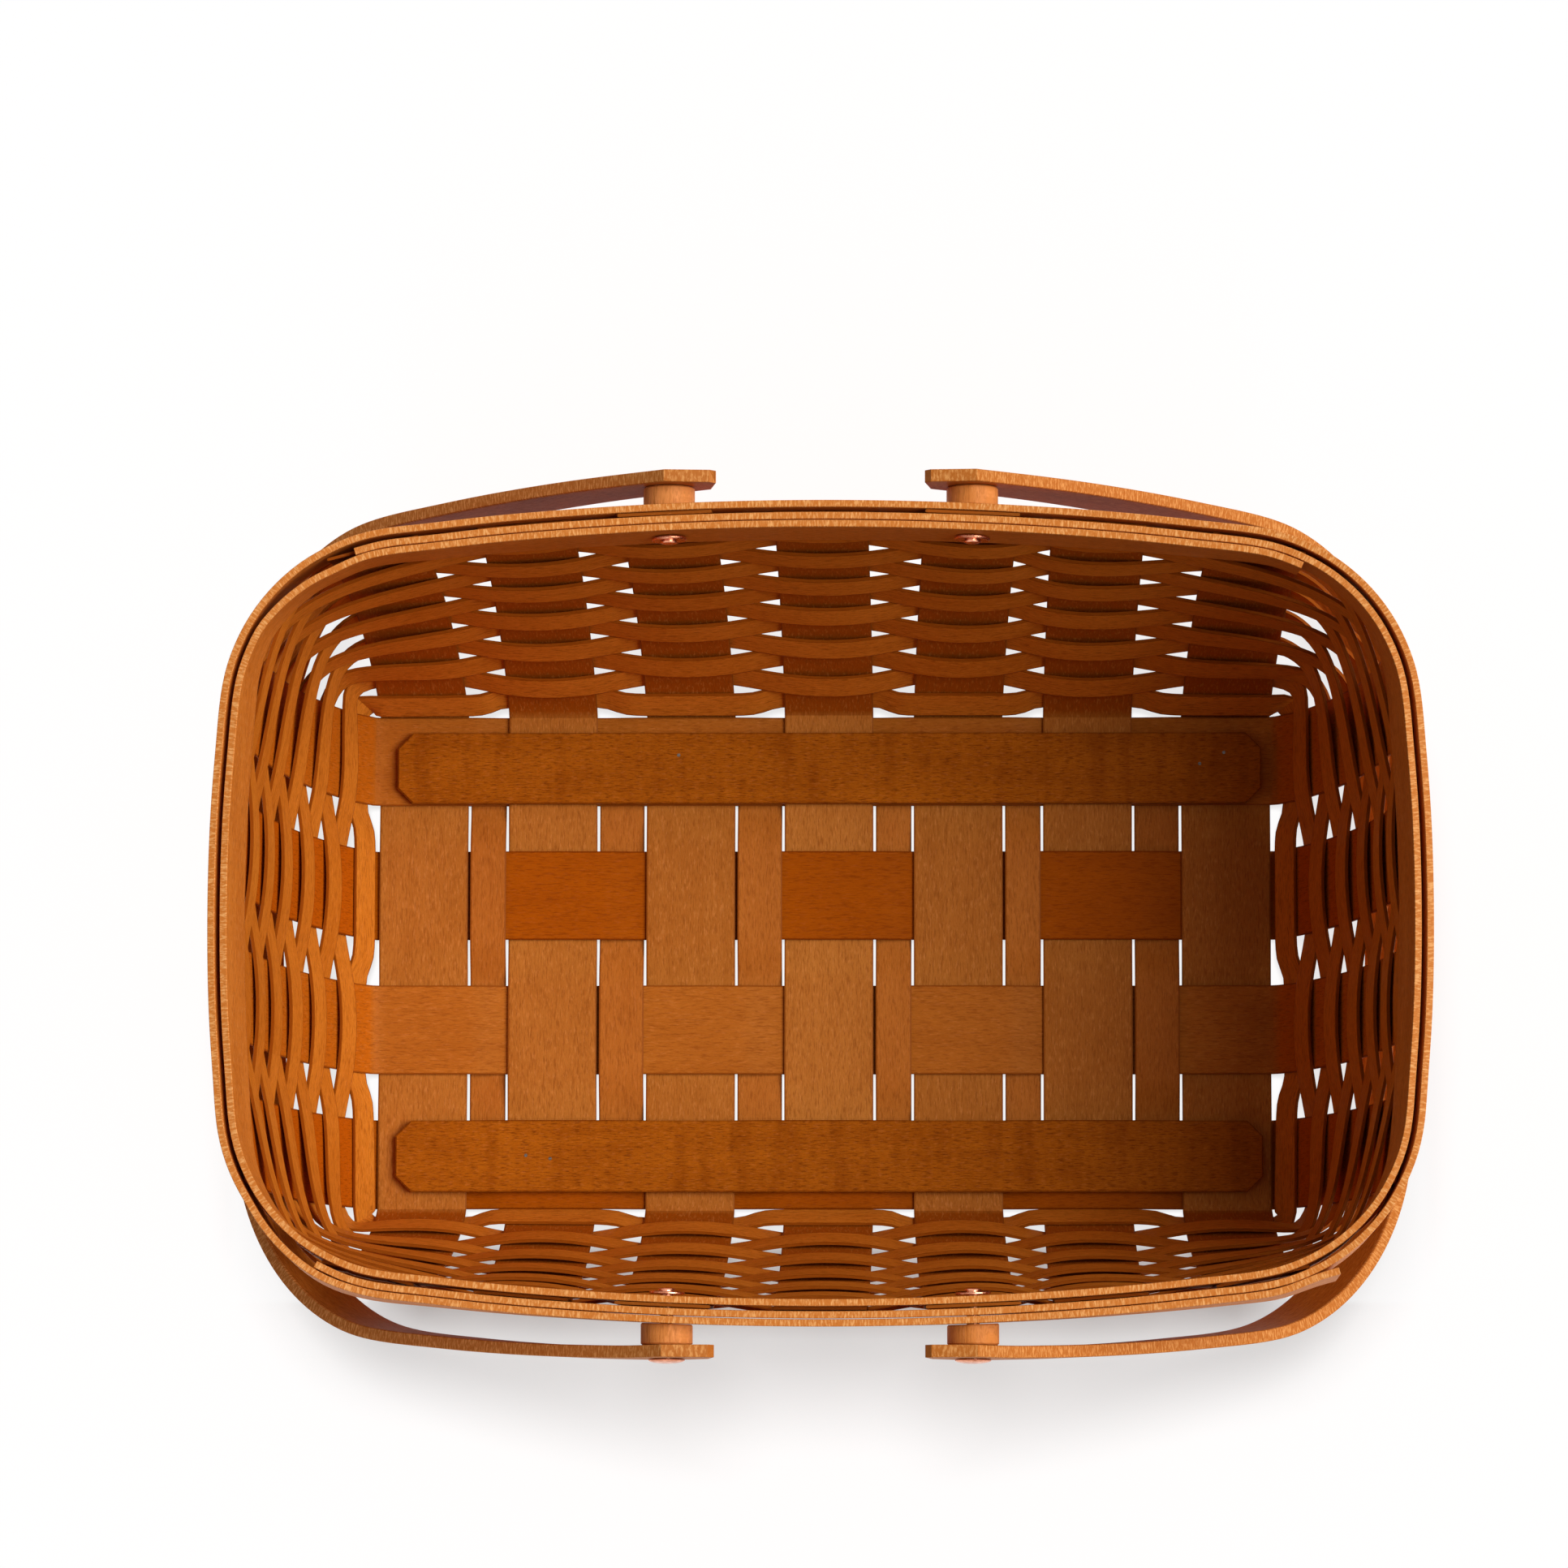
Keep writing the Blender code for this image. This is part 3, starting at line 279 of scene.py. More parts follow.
def read_strip(name, candidates=every_edge):
    """The sections of a CAD strip, from its four long edges."""
    shape = bmesh.new()
    shape.from_mesh(NODES[name].data)
    bmesh.ops.remove_doubles(shape, verts=shape.verts, dist=WELD)
    shape.verts.index_update()
    chains, closed = long_edges(shape, candidates)
    chains = [chains[0]] + [matched(chain, chains[0], closed) for chain in chains[1:]]
    if len({len(chain) for chain in chains}) > 1:
        raise ValueError(f"{name}: uneven edges {[len(chain) for chain in chains]}")
    lines = np.array([[vert.co for vert in chain] for chain in chains])
    away = np.linalg.norm(lines - lines[0], axis=2).mean(axis=1)
    own, through, across, opposite = np.argsort(away)
    edge_a = (lines[own] + lines[through]) / 2
    edge_b = (lines[across] + lines[opposite]) / 2
    thickness = float(np.median(np.linalg.norm(lines[own] - lines[through], axis=1)))
    shape.free()
    return Strip(np.stack([edge_a, edge_b], axis=1), thickness, closed)


def sprung_slopes(points, t, closed):
    """Slopes of the curve that a springy strip takes through its points."""
    count = len(points)
    gaps = np.diff(t)
    system = np.zeros((count, count))
    wanted = np.zeros((count,) + points.shape[1:])
    shape = (-1,) + (1,) * (points.ndim - 1)
    following = np.roll(points, -1, axis=0) if closed else points[1:]
    steps = (following - points[: len(gaps)]) / gaps.reshape(shape)
    if closed:
        for i in range(count):
            before, after = gaps[i - 1], gaps[i]
            system[i, i - 1] += after
            system[i, i] += 2 * (before + after)
            system[i, (i + 1) % count] += before
            wanted[i] = 3 * (after * steps[i - 1] + before * steps[i])
    else:
        system[0, 0], system[0, 1] = 2, 1
        wanted[0] = 3 * steps[0]
        system[-1, -1], system[-1, -2] = 2, 1
        wanted[-1] = 3 * steps[-1]
        for i in range(1, count - 1):
            before, after = gaps[i - 1], gaps[i]
            system[i, i - 1] = after
            system[i, i] = 2 * (before + after)
            system[i, i + 1] = before
            wanted[i] = 3 * (after * steps[i - 1] + before * steps[i])
    flat = np.linalg.solve(system, wanted.reshape(count, -1))
    return flat.reshape(points.shape)


def pressed_slopes(points, t):
    """Slopes of a curve that never passes its points, as of splints pressed flat in a floor."""
    gaps = np.diff(t).reshape((-1,) + (1,) * (points.ndim - 1))
    steps = np.diff(points, axis=0) / gaps
    before, after = steps[:-1], steps[1:]
    w1, w2 = 2 * gaps[1:] + gaps[:-1], gaps[1:] + 2 * gaps[:-1]
    same_way = before * after > 0
    safe_before = np.where(same_way, before, 1.0)
    safe_after = np.where(same_way, after, 1.0)
    inner = np.where(same_way, (w1 + w2) / (w1 / safe_before + w2 / safe_after), 0.0)
    return np.concatenate([steps[:1], inner, steps[-1:]])


def hermite(points, slopes, t, at):
    """Points and slopes at the places in at, on cubics between the given ones."""
    i = np.clip(np.searchsorted(t, at, side="right") - 1, 0, len(t) - 2)
    after = (i + 1) % len(points)
    gap = t[i + 1] - t[i]
    shape = (-1,) + (1,) * (points.ndim - 1)
    s = ((at - t[i]) / gap).reshape(shape)
    gap = gap.reshape(shape)
    p0, p1, m0, m1 = points[i], points[after], slopes[i] * gap, slopes[after] * gap
    place = p0 * (2 * s**3 - 3 * s**2 + 1) + m0 * (s**3 - 2 * s**2 + s)
    place += p1 * (3 * s**2 - 2 * s**3) + m1 * (s**3 - s**2)
    way = (p0 * (6 * s**2 - 6 * s) + m0 * (3 * s**2 - 4 * s + 1)) / gap
    way += (p1 * (6 * s - 6 * s**2) + m1 * (3 * s**2 - 2 * s)) / gap
    return place, way


def upright_edges(strip, z):
    """An upright's two edges where it stands at height z, wall by wall."""
    heights = strip.sections[:, :, 2].mean(axis=1)
    walls = []
    for i in range(len(heights) - 1):
        low, high = heights[i], heights[i + 1]
        if min(low, high) <= z < max(low, high):
            share = (z - low) / (high - low)
            walls.append(strip.sections[i] * (1 - share) + strip.sections[i + 1] * share)
    return walls


def seat(section, uprights):
    """The upright beside a weaver's section, if any, and whether the weaver is inside it."""
    middle = section.mean(axis=0)
    for name, strip in uprights.items():
        for edges in upright_edges(strip, middle[2]):
            away = middle[:2] - edges[:, :2]
            apart = np.linalg.norm(away, axis=1)
            nearest = int(np.argmin(apart))
            if apart[nearest] < SEAT_REACH:
                return name, float(away[nearest] @ edges[nearest, :2]) < 0
    return None, False


def firm_places(seats):
    """Sections that hold a weaver's shape: none on a corner, nor inside a corner upright,
    but for those at that upright's far edge."""
    firm = []
    for i, (name, inside) in enumerate(seats):
        beside = {seats[i - 1][0], seats[(i + 1) % len(seats)][0]} - {None, name}
        if name and (beside or not (inside and name in CORNER_UPRIGHTS)):
            firm.append(i)
    return firm


def taut(points, t, at, firm):
    """Sections and ways of a weaver drawn straighter past the corners, through the firm ones."""
    start = t[firm[0]]
    places = np.append(t[firm], start + t[-1]) - start
    firm_points = points[firm]
    return hermite(firm_points, sprung_slopes(firm_points, places, True), places, (at - start) % t[-1])


def leaning(points, t, seats):
    """Adds places between uprights where the lowest weaver stays close to its inner side."""
    count = len(points)
    rows, times = [], []
    for i in range(count):
        after = (i + 1) % count
        rows.append(points[i])
        times.append(t[i])
        (name, inside), (next_name, next_inside) = seats[i], seats[after]
        if name and next_name and name != next_name and inside != next_inside:
            inner = i if inside else after
            outer = after if inside else i
            beyond = i - 1 if inside else (after + 1) % count
            line = unit(points[inner].mean(axis=0) - points[beyond].mean(axis=0))
            step = points[outer] - points[inner]
            sideways = step - (step @ line)[:, None] * line
            rows.append(points[inner] + LEAN_PLACE * step - (LEAN_PLACE - LEAN_ASIDE) * sideways)
            share = LEAN_PLACE if inside else 1 - LEAN_PLACE
            times.append(t[i] + share * (t[i + 1] - t[i]))
    return np.array(rows), np.array(times + [t[-1]])


def woven(strip, uprights, t, at):
    """Sections and ways of a weaver: sprung over its uprights, and taut past the corners."""
    seats = [seat(section, uprights) for section in strip.sections]
    if not strip.tension:
        points, places = leaning(strip.sections, t, seats)
        gaps = np.diff(places)
        wrapped = np.concatenate([points[-1:], points, points[:2]])
        wrapped_places = np.concatenate([places[:1] - gaps[-1:], places, places[-1:] + gaps[:1]])
        return hermite(points, pressed_slopes(wrapped, wrapped_places)[1:-2], places, at)
    full = hermite(strip.sections, sprung_slopes(strip.sections, t, True), t, at)
    straight = taut(strip.sections, t, at, firm_places(seats))
    return [(1 - strip.tension) * a + strip.tension * b for a, b in zip(full, straight)]


def resampled(strip, manner, uprights=None):
    """Closely spaced sections, the way along at each, and the distance along the strip."""
    middle = strip.sections.mean(axis=1)
    ring = np.concatenate([middle, middle[:1]]) if strip.closed else middle
    t = np.concatenate([[0.0], np.cumsum(np.linalg.norm(np.diff(ring, axis=0), axis=1))])
    count = max(FEWEST_STEPS, round(t[-1] / STRIP_STEP))
    at = np.linspace(0.0, t[-1], count + 1)
    if strip.closed:
        at = at[:-1]
    if manner == "woven":
        sections, ways = woven(strip, uprights, t, at)
        return sections, ways, at, t[-1]
    if manner == "pressed":
        slopes = pressed_slopes(strip.sections, t)
    else:
        slopes = sprung_slopes(strip.sections, t, strip.closed)
    sections, ways = hermite(strip.sections, slopes, t, at)
    if manner == "clipped":
        half = (strip.sections[:, 1] - strip.sections[:, 0]) / 2
        at = np.unique(np.concatenate([at, t[:2], t[-2:]]))
        centre, way = hermite(middle, sprung_slopes(middle, t, False), t, at)
        half = np.stack([np.interp(at, t, half[:, axis]) for axis in range(3)], axis=1)
        sections = np.stack([centre - half, centre + half], axis=1)
        ways = np.stack([way, way], axis=1)
    return sections, ways, at, t[-1]


def section_profile(width, thickness, ease, rounds=1):
    """Points round a strip's section: distance from one edge, and height off the middle."""
    eased = []
    for i in range(rounds + 1):
        angle = math.pi / 2 * i / rounds
        across = ease * (1 - math.cos(angle))
        height = thickness / 2 - ease * EDGE_DROP * (1 - math.sin(angle))
        eased.append((across, height))
    eased.append((ease * FACE_START, thickness / 2))
    upper = eased + [(width / 2, thickness / 2)]
    upper += [(width - across, height) for across, height in reversed(eased)]
    lower = [(across, -height) for across, height in reversed(upper)]
    return np.array(upper + lower)


def loft_strip(name, strip, manner, ease, seed, rounds=1, spread=1.0, uprights=None):
    """A closed mesh along a strip, with its grain's coordinates and its distance from an edge."""
    sections, ways, at, length = resampled(strip, manner, uprights)
    width = strip.width * spread
    profile = section_profile(width, strip.thickness, ease, rounds)
    u = (0.5 + (profile[:, 0] / width - 0.5) * spread)[None, :, None]
    across = sections[:, 1:] - sections[:, :1]
    middle = sections[:, :1] * (1 - u) + sections[:, 1:] * u
    along = ways[:, :1] * (1 - u) + ways[:, 1:] * u
    normals = unit(np.cross(along, across))
    points = middle + normals * profile[None, :, 1, None]
    rows, around = points.shape[:2]
    steps = rows if strip.closed else rows - 1
    j, m = np.meshgrid(np.arange(steps), np.arange(around), indexing="ij")
    j, m = j.ravel(), m.ravel()
    corner_j = np.stack([j, j + 1, j + 1, j], axis=1)
    corner_m = np.stack([m, m, m + 1, m + 1], axis=1)
    quads = (corner_j % rows) * around + corner_m % around
    faces = quads.tolist()
    corners = [(np.ravel(corner_j), np.ravel(corner_m))]
    if not strip.closed:
        ring = np.arange(around)
        faces.append(ring.tolist())
        faces.append((ring[::-1] + (rows - 1) * around).tolist())
        corners.append((np.zeros(around, int), ring))
        corners.append((np.full(around, rows - 1), ring[::-1]))
    mesh = bpy.data.meshes.new(name)
    mesh.from_pydata(points.reshape(-1, 3).tolist(), [], faces)
    around_lengths = np.linalg.norm(np.diff(profile, axis=0, append=profile[:1]), axis=1)
    girth = np.concatenate([[0.0], np.cumsum(around_lengths)])
    run = np.append(at, length)
    all_j = np.concatenate([pair[0] for pair in corners])
    all_m = np.concatenate([pair[1] for pair in corners])
    grain = np.stack([girth[all_m], run[all_j], np.full(len(all_j), seed)], axis=1)
    add_attribute(mesh, "grain", "FLOAT_VECTOR", "CORNER", grain)
    edge = np.minimum(profile[:, 0], width - profile[:, 0]) - ease
    edge = np.maximum(edge, 0.0)
    add_attribute(mesh, "edge", "FLOAT", "POINT", np.tile(edge, rows))
    return finish_mesh(name, mesh)


def add_attribute(mesh, name, kind, domain, values):
    layer = mesh.attributes.new(name, kind, domain)
    field = "vector" if kind == "FLOAT_VECTOR" else "value"
    layer.data.foreach_set(field, np.asarray(values, np.float32).ravel())


def finish_mesh(name, mesh):
    """An object from a mesh whose faces all point outward, shaded smooth between sharp edges."""
    shape = bmesh.new()
    shape.from_mesh(mesh)
    if shape.calc_volume(signed=True) < 0:
        bmesh.ops.reverse_faces(shape, faces=shape.faces)
    shape.to_mesh(mesh)
    shape.free()
    mesh.shade_smooth()
    mesh.set_sharp_from_angle(angle=SMOOTH_UNDER)
    thing = bpy.data.objects.new(name, mesh)
    bpy.context.scene.collection.objects.link(thing)
    return thing


def stand_for(thing, node, material, body="root"):
    """Dresses a new piece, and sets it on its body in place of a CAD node."""
    thing.data.materials.clear()
    thing.data.materials.append(material)
    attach(thing, body)
    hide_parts(node)


class Graph:
    """A small helper that adds and joins a material's nodes."""

    def __init__(self, name):
        self.material = bpy.data.materials.new(name)
        self.material.use_nodes = True
        self.tree = self.material.node_tree
        self.shader = self.tree.nodes["Principled BSDF"]

    def add(self, kind, values=(), **settings):
        node = self.tree.nodes.new(kind)
        for key, value in settings.items():
            setattr(node, key, value)
        for key, value in dict(values).items():
            self.put(value, node.inputs[key])
        return node

    def put(self, value, socket):
        if isinstance(value, bpy.types.NodeSocket):
            self.tree.links.new(value, socket)
        else:
            socket.default_value = value

    def math(self, operation, a, b=0.0, clamp=False):
        node = self.add("ShaderNodeMath", {0: a, 1: b}, operation=operation, use_clamp=clamp)
        return node.outputs[0]

    def scaled(self, vector, factors):
        values = {0: vector, 1: factors}
        return self.add("ShaderNodeVectorMath", values, operation="MULTIPLY").outputs[0]

    def marks(self, place, mark, fine=1.0):
        across, along, apart = mark.scale
        values = {"Vector": self.scaled(place, (across * fine, along * fine, apart)), "Scale": 1.0}
        values.update(Detail=mark.detail, Roughness=mark.roughness, Distortion=mark.distortion)
        return self.add("ShaderNodeTexNoise", values).outputs["Fac"]

    def shown(self, noise, mark, share):
        return self.math("MULTIPLY", self.ramp(noise, *mark.range), share)

    def bump(self, strength, height):
        values = {"Strength": strength, "Distance": BUMP_DEPTH, "Height": height}
        self.put(self.add("ShaderNodeBump", values).outputs[0], self.shader.inputs["Normal"])

    def ramp(self, value, low, high):
        values = {"Value": value, "From Min": low, "From Max": high}
        return self.add("ShaderNodeMapRange", values, clamp=True).outputs[0]

    def mix(self, factor, a, b):
        node = self.add("ShaderNodeMix", data_type="RGBA")
        self.put(factor, node.inputs["Factor"])
        self.put(a, node.inputs["A"])
        self.put(b, node.inputs["B"])
        return node.outputs["Result"]


def rgba(colour):
    return (*colour, 1.0)


class Mark:
    """Noise in a surface: its scale across, along and between pieces, and the range that shows."""

    def __init__(self, scale, detail, roughness, shown_range=(0.0, 1.0), distortion=0.0):
        self.scale = scale
        self.detail = detail
        self.roughness = roughness
        self.range = shown_range
        self.distortion = distortion


LINES = Mark((2100.0, 260.0, 1.0), 3.0, 0.62, (0.50, 0.66))
FIBRES = Mark((4200.0, 620.0, 1.0), 2.0, 0.55, (0.52, 0.66))
FLECKS = Mark((1500.0, 330.0, 5.0), 3.0, 0.6, (0.54, 0.68))
FIGURE = Mark((210.0, 14.0, 1.0), 3.0, 0.55, (0.30, 0.70), 0.8)
CLOUDS = Mark((70.0, 38.0, 1.0), 3.0, 0.6, (0.30, 0.70))
PIECES = Mark((0.0, 0.5, 3.0), 0.0, 0.55, (0.35, 0.65))
BANDS = Mark((14.0, 120.0, 1.0), 2.0, 0.5, (0.48, 0.70))
RAGS = Mark((700.0, 900.0, 1.0), 3.0, 0.7, (0.35, 0.70))
CHIPS = Mark((380.0, 1500.0, 1.0), 2.0, 0.55, (0.46, 0.66))
SAWN_STAIN_RANGE = (0.52, 0.68)
TARNISH = Mark((420.0,) * 3, 4.0, 0.6, (0.35, 0.7))
BRUSHING = Mark((2600.0,) * 3, 2.0, 0.5)
STAIN = Mark((1800.0,) * 3, 3.0, 0.6, (0.35, 0.7))


class Timber:
    """A stained wood's tones, with an upright's painted shade tone for its wall part, and how strongly
    each of its marks shows.
    """

    def __init__(self, light, dark, line, **changes):
        self.light = light
        self.dark = dark
        self.line = line
        self.pale = changes.get("pale", tuple(PALE_GAIN * c + PALE_LIFT for c in light))
        self.edge = changes.get("edge")
        self.lines = changes.get("lines", 0.55)
        self.flecks = changes.get("flecks", 0.30)
        self.pieces = changes.get("pieces", 0.45)
        self.bands = changes.get("bands", 0.0)
        self.fine = changes.get("fine", 1.0)
        # wall: the tone painted on an upright's wall part, standing in for the shade and bounce light
        # there
        self.wall = changes.get("wall")
        self.gloss = changes.get("gloss", 0.04)


def wood(name, timber):
    """Stained wood: fine dark lines and pale flecks along the grain, cloudy stain, worn edges, and on
    uprights a redder painted shade where they rise into the walls.
    """
    g = Graph(name)
    grain = g.add("ShaderNodeAttribute", attribute_name="grain").outputs["Vector"]
    edge = g.add("ShaderNodeAttribute", attribute_name="edge").outputs["Fac"]
    apart = g.scaled(grain, (1.0, 1.0, PIECES_APART))
    lines = g.marks(apart, LINES, timber.fine)
    fibres = g.marks(apart, FIBRES, timber.fine)
    flecks = g.marks(apart, FLECKS, timber.fine)
    rag = g.marks(apart, RAGS)
    depth = g.shown(g.marks(apart, FIGURE), FIGURE, FIGURE_SHARE)
    for mark, share in ((CLOUDS, CLOUDS_SHARE), (PIECES, timber.pieces), (BANDS, timber.bands)):
        if share:
            depth = g.math("ADD", depth, g.shown(g.marks(apart, mark), mark, share))
    whole = FIGURE_SHARE + CLOUDS_SHARE + timber.pieces
    colour = g.mix(g.math("DIVIDE", depth, whole, clamp=True), rgba(timber.light), rgba(timber.dark))
    # Painted shade: where an upright rises into the walls it takes the redder wall tone, standing in
    # for the shade and bounce light between the weavers
    if timber.wall:
        place = g.add("ShaderNodeTexCoord").outputs["Object"]
        wall_shade_share = g.ramp(g.add("ShaderNodeSeparateXYZ", {0: place}).outputs[2], *WALL_SHADE_RISE)
        colour = g.mix(wall_shade_share, colour, rgba(timber.wall))
    colour = g.mix(g.shown(lines, LINES, timber.lines), colour, rgba(timber.line))
    colour = g.mix(g.shown(fibres, FIBRES, timber.lines * FIBRE_SHARE), colour, rgba(timber.line))
    colour = g.mix(g.shown(flecks, FLECKS, timber.flecks), colour, rgba(timber.pale))
    reach = g.math("ADD", g.shown(rag, RAGS, WORN_SPREAD), WORN_LEAST)
    worn = g.math("SUBTRACT", 1.0, g.math("DIVIDE", edge, reach, clamp=True))
    colour = g.mix(g.math("MULTIPLY", worn, WORN_SHARE), colour, rgba(timber.line))
    if timber.edge:
        chips = g.ramp(g.marks(apart, CHIPS), *CHIPS.range)
        sawn = g.mix(chips, rgba(timber.edge), rgba(timber.pale))
        stain = g.math("MULTIPLY", g.ramp(rag, *SAWN_STAIN_RANGE), SAWN_DARK)
        sawn = g.mix(stain, sawn, rgba(timber.dark))
        colour = g.mix(g.math("LESS_THAN", edge, SAWN_WITHIN), colour, sawn)
    g.put(colour, g.shader.inputs["Base Color"])
    rough = g.math("ADD", g.math("MULTIPLY", lines, ROUGH_SPREAD), WOOD_ROUGH)
    g.put(rough, g.shader.inputs["Roughness"])
    height = g.math("SUBTRACT", g.math("MULTIPLY", rag, RAG_RISE), g.math("MULTIPLY", lines, LINE_DENT))
    height = g.math("SUBTRACT", height, g.math("MULTIPLY", worn, WORN_DENT))
    g.bump(WOOD_BUMP, height)
    g.shader.inputs["Specular IOR Level"].default_value = timber.gloss
    return g.material


def copper_metal():
    """Bright copper with a brushed, lightly tarnished face."""
    g = Graph("copper_metal")
    place = g.add("ShaderNodeTexCoord").outputs["Object"]
    tarnish = g.marks(place, TARNISH)
    tone = g.mix(g.ramp(tarnish, *TARNISH.range), rgba(COPPER_TONES[0]), rgba(COPPER_TONES[1]))
    g.put(tone, g.shader.inputs["Base Color"])
    g.shader.inputs["Metallic"].default_value = 1.0
    rough = g.math("ADD", g.math("MULTIPLY", tarnish, COPPER_ROUGH_SPREAD), COPPER_ROUGH)
    g.put(rough, g.shader.inputs["Roughness"])
    g.bump(COPPER_BUMP, g.marks(place, BRUSHING))
    return g.material


def dull_steel():
    """Brad heads: dark steel, a little stained."""
    g = Graph("dull_steel")
    place = g.add("ShaderNodeTexCoord").outputs["Object"]
    stain = g.marks(place, STAIN)
    tone = g.mix(g.ramp(stain, *STAIN.range), rgba(STEEL_TONES[0]), rgba(STEEL_TONES[1]))
    g.put(tone, g.shader.inputs["Base Color"])
    g.shader.inputs["Metallic"].default_value = STEEL_METALLIC
    rough = g.math("ADD", g.math("MULTIPLY", stain, STEEL_ROUGH_SPREAD), STEEL_ROUGH)
    g.put(rough, g.shader.inputs["Roughness"])
    return g.material


# Each wood's light and dark tones and its lines' tone, and what differs from the usual marks; an
# upright's wall tone is painted shade and bounce light
CROSS_WOOD = wood("cross_wood_fine", Timber(
    (0.57, 0.200, 0.032), (0.41, 0.124, 0.014), (0.27, 0.068, 0.006), flecks=0.34, lines=0.62,
    wall=(0.38, 0.078, 0.003)))
TAN_WOOD = wood("tan_wood_fine", Timber(
    (0.53, 0.165, 0.018), (0.38, 0.100, 0.008), (0.25, 0.054, 0.003), flecks=0.25,
    wall=(0.54, 0.124, 0.005)))
DEEP_WOOD = wood("deep_wood_fine", Timber(
    (0.42, 0.090, 0.001), (0.30, 0.056, 0.001), (0.19, 0.030, 0.0005), flecks=0.14, lines=0.50,
    wall=(0.50, 0.095, 0.002), gloss=0.02))
WEAVER_WOOD = wood("weaver_wood_fine", Timber(
    (0.70, 0.215, 0.020), (0.52, 0.131, 0.008), (0.24, 0.044, 0.001), flecks=0.28))
FILLER_WOOD = wood("filler_wood_fine", Timber(
    (0.55, 0.172, 0.024), (0.41, 0.110, 0.011), (0.26, 0.060, 0.005), flecks=0.24))
BAND_WOOD = wood("band_wood_fine", Timber(
    (0.72, 0.220, 0.028), (0.52, 0.132, 0.012), (0.26, 0.052, 0.004), edge=(0.66, 0.200, 0.032),
    pale=(0.92, 0.43, 0.14), pieces=0.1, gloss=0.08))
RAIL_WOOD = wood("rail_wood_fine", Timber(
    (0.48, 0.128, 0.005), (0.32, 0.074, 0.002), (0.15, 0.028, 0.0005), lines=0.76, bands=0.4,
    fine=1.05, pieces=0.1, flecks=0.28, gloss=0.02))
HANDLE_WOOD = wood("handle_wood_fine", Timber(
    (0.60, 0.180, 0.022), (0.42, 0.108, 0.008), (0.22, 0.045, 0.003), edge=(0.52, 0.155, 0.024),
    pale=(0.76, 0.32, 0.09), pieces=0.1, gloss=0.08))
SPACER_WOOD = wood("spacer_wood_fine", Timber(
    (0.82, 0.310, 0.085), (0.62, 0.200, 0.034), (0.36, 0.095, 0.012), fine=0.6, gloss=0.08))
STAKE_WOODS = {"stake_l1": TAN_WOOD, "stake_l2": DEEP_WOOD, "stake_l3": TAN_WOOD, "stake_l4": DEEP_WOOD}
COPPER = copper_metal()
STEEL = dull_steel()


def make_splints():
    """Uprights, fillers and weavers."""
    uprights = {name: read_strip(name, beside_narrow) for name in NODES if name.startswith("stake")}
    for place, name in enumerate(sorted(NODES)):
        seed = SPLINT_SEED + SPLINT_SEED_STEP * place
        if name.startswith("stake"):
            thing = loft_strip("splint_" + name, uprights[name], "pressed", SPLINT_EASE, seed)
            stand_for(thing, name, STAKE_WOODS.get(name, CROSS_WOOD))
        elif name.startswith("filler"):
            thing = loft_strip("splint_" + name, read_strip(name), "pressed", SPLINT_EASE, seed)
            stand_for(thing, name, FILLER_WOOD)
        elif name.startswith("weaver"):
            strip = read_strip(name, near_level)
            height = strip.sections[..., 2].mean()
            strip.tension = min(max((height - TAUT_FROM) / (TAUT_TO - TAUT_FROM), 0.0), 1.0)
            strip.thickness *= 1 + (WEAVER_THICKEN - 1) * strip.tension
            spread = 1 + (WEAVER_SPREAD - 1) * strip.tension
            shape = {"spread": spread, "uprights": uprights}
            thing = loft_strip("splint_" + name, strip, "woven", SPLINT_EASE, seed, **shape)
            stand_for(thing, name, WEAVER_WOOD)


def make_bands_and_handles():
    """Rim bands and handles, with rounder edges than the splints."""
    for place, name in enumerate(("inner_rim", "outer_rim")):
        strip, seed = read_strip(name), BAND_SEED + place
        thing = loft_strip("band_" + name, strip, "sprung", BAND_EASE, seed, BAND_ROUNDS)
        stand_for(thing, name, BAND_WOOD)
    for place, name in enumerate(("handle_left", "handle_right")):
        strip, seed = read_strip(name), HANDLE_SEED + place
        shape = HANDLE_EASE, seed, HANDLE_ROUNDS, HANDLE_SPREAD
        thing = loft_strip("bent_" + name, strip, "clipped", *shape)
        stand_for(thing, name, HANDLE_WOOD, name)


def grain_from_places(mesh, seed, along=0, across=1, through=2):
    """Grain coordinates of a board: along one axis, and round it by the other two."""
    places = np.zeros(len(mesh.vertices) * 3)
    mesh.vertices.foreach_get("co", places)
    places = places.reshape(-1, 3)
    loops = np.zeros(len(mesh.loops), int)
    mesh.loops.foreach_get("vertex_index", loops)
    at = places[loops]
    grain = np.stack([at[:, across] + at[:, through], at[:, along], np.full(len(at), seed)], axis=1)
    add_attribute(mesh, "grain", "FLOAT_VECTOR", "CORNER", grain)
    return places


def make_board(name, seed):
    """A board with clipped corners and eased edges, in the box of its CAD node."""
    low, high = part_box(name)
    centre, size = (low + high) / 2, high - low
    shape = bmesh.new()
    bmesh.ops.create_cube(shape, size=1.0)
    bmesh.ops.scale(shape, vec=size, verts=shape.verts)
    upright = [edge for edge in shape.edges if rise(edge) > size.z / 2]
    bmesh.ops.bevel(shape, geom=upright, offset=BOARD_CLIP, segments=1, affect="EDGES")
    level = [edge for edge in shape.edges if rise(edge) < size.z / 2]
    bmesh.ops.bevel(shape, geom=level, offset=BOARD_EASE, segments=2, affect="EDGES")
    bmesh.ops.translate(shape, vec=centre, verts=shape.verts)
    mesh = bpy.data.meshes.new(name)
    shape.to_mesh(mesh)
    shape.free()
    places = grain_from_places(mesh, seed)
    inward = np.minimum(places - np.array(low), np.array(high) - places)
    add_attribute(mesh, "edge", "FLOAT", "POINT", np.minimum(inward[:, 0], inward[:, 1]))
    thing = finish_mesh("board_" + name, mesh)
    stand_for(thing, name, RAIL_WOOD)


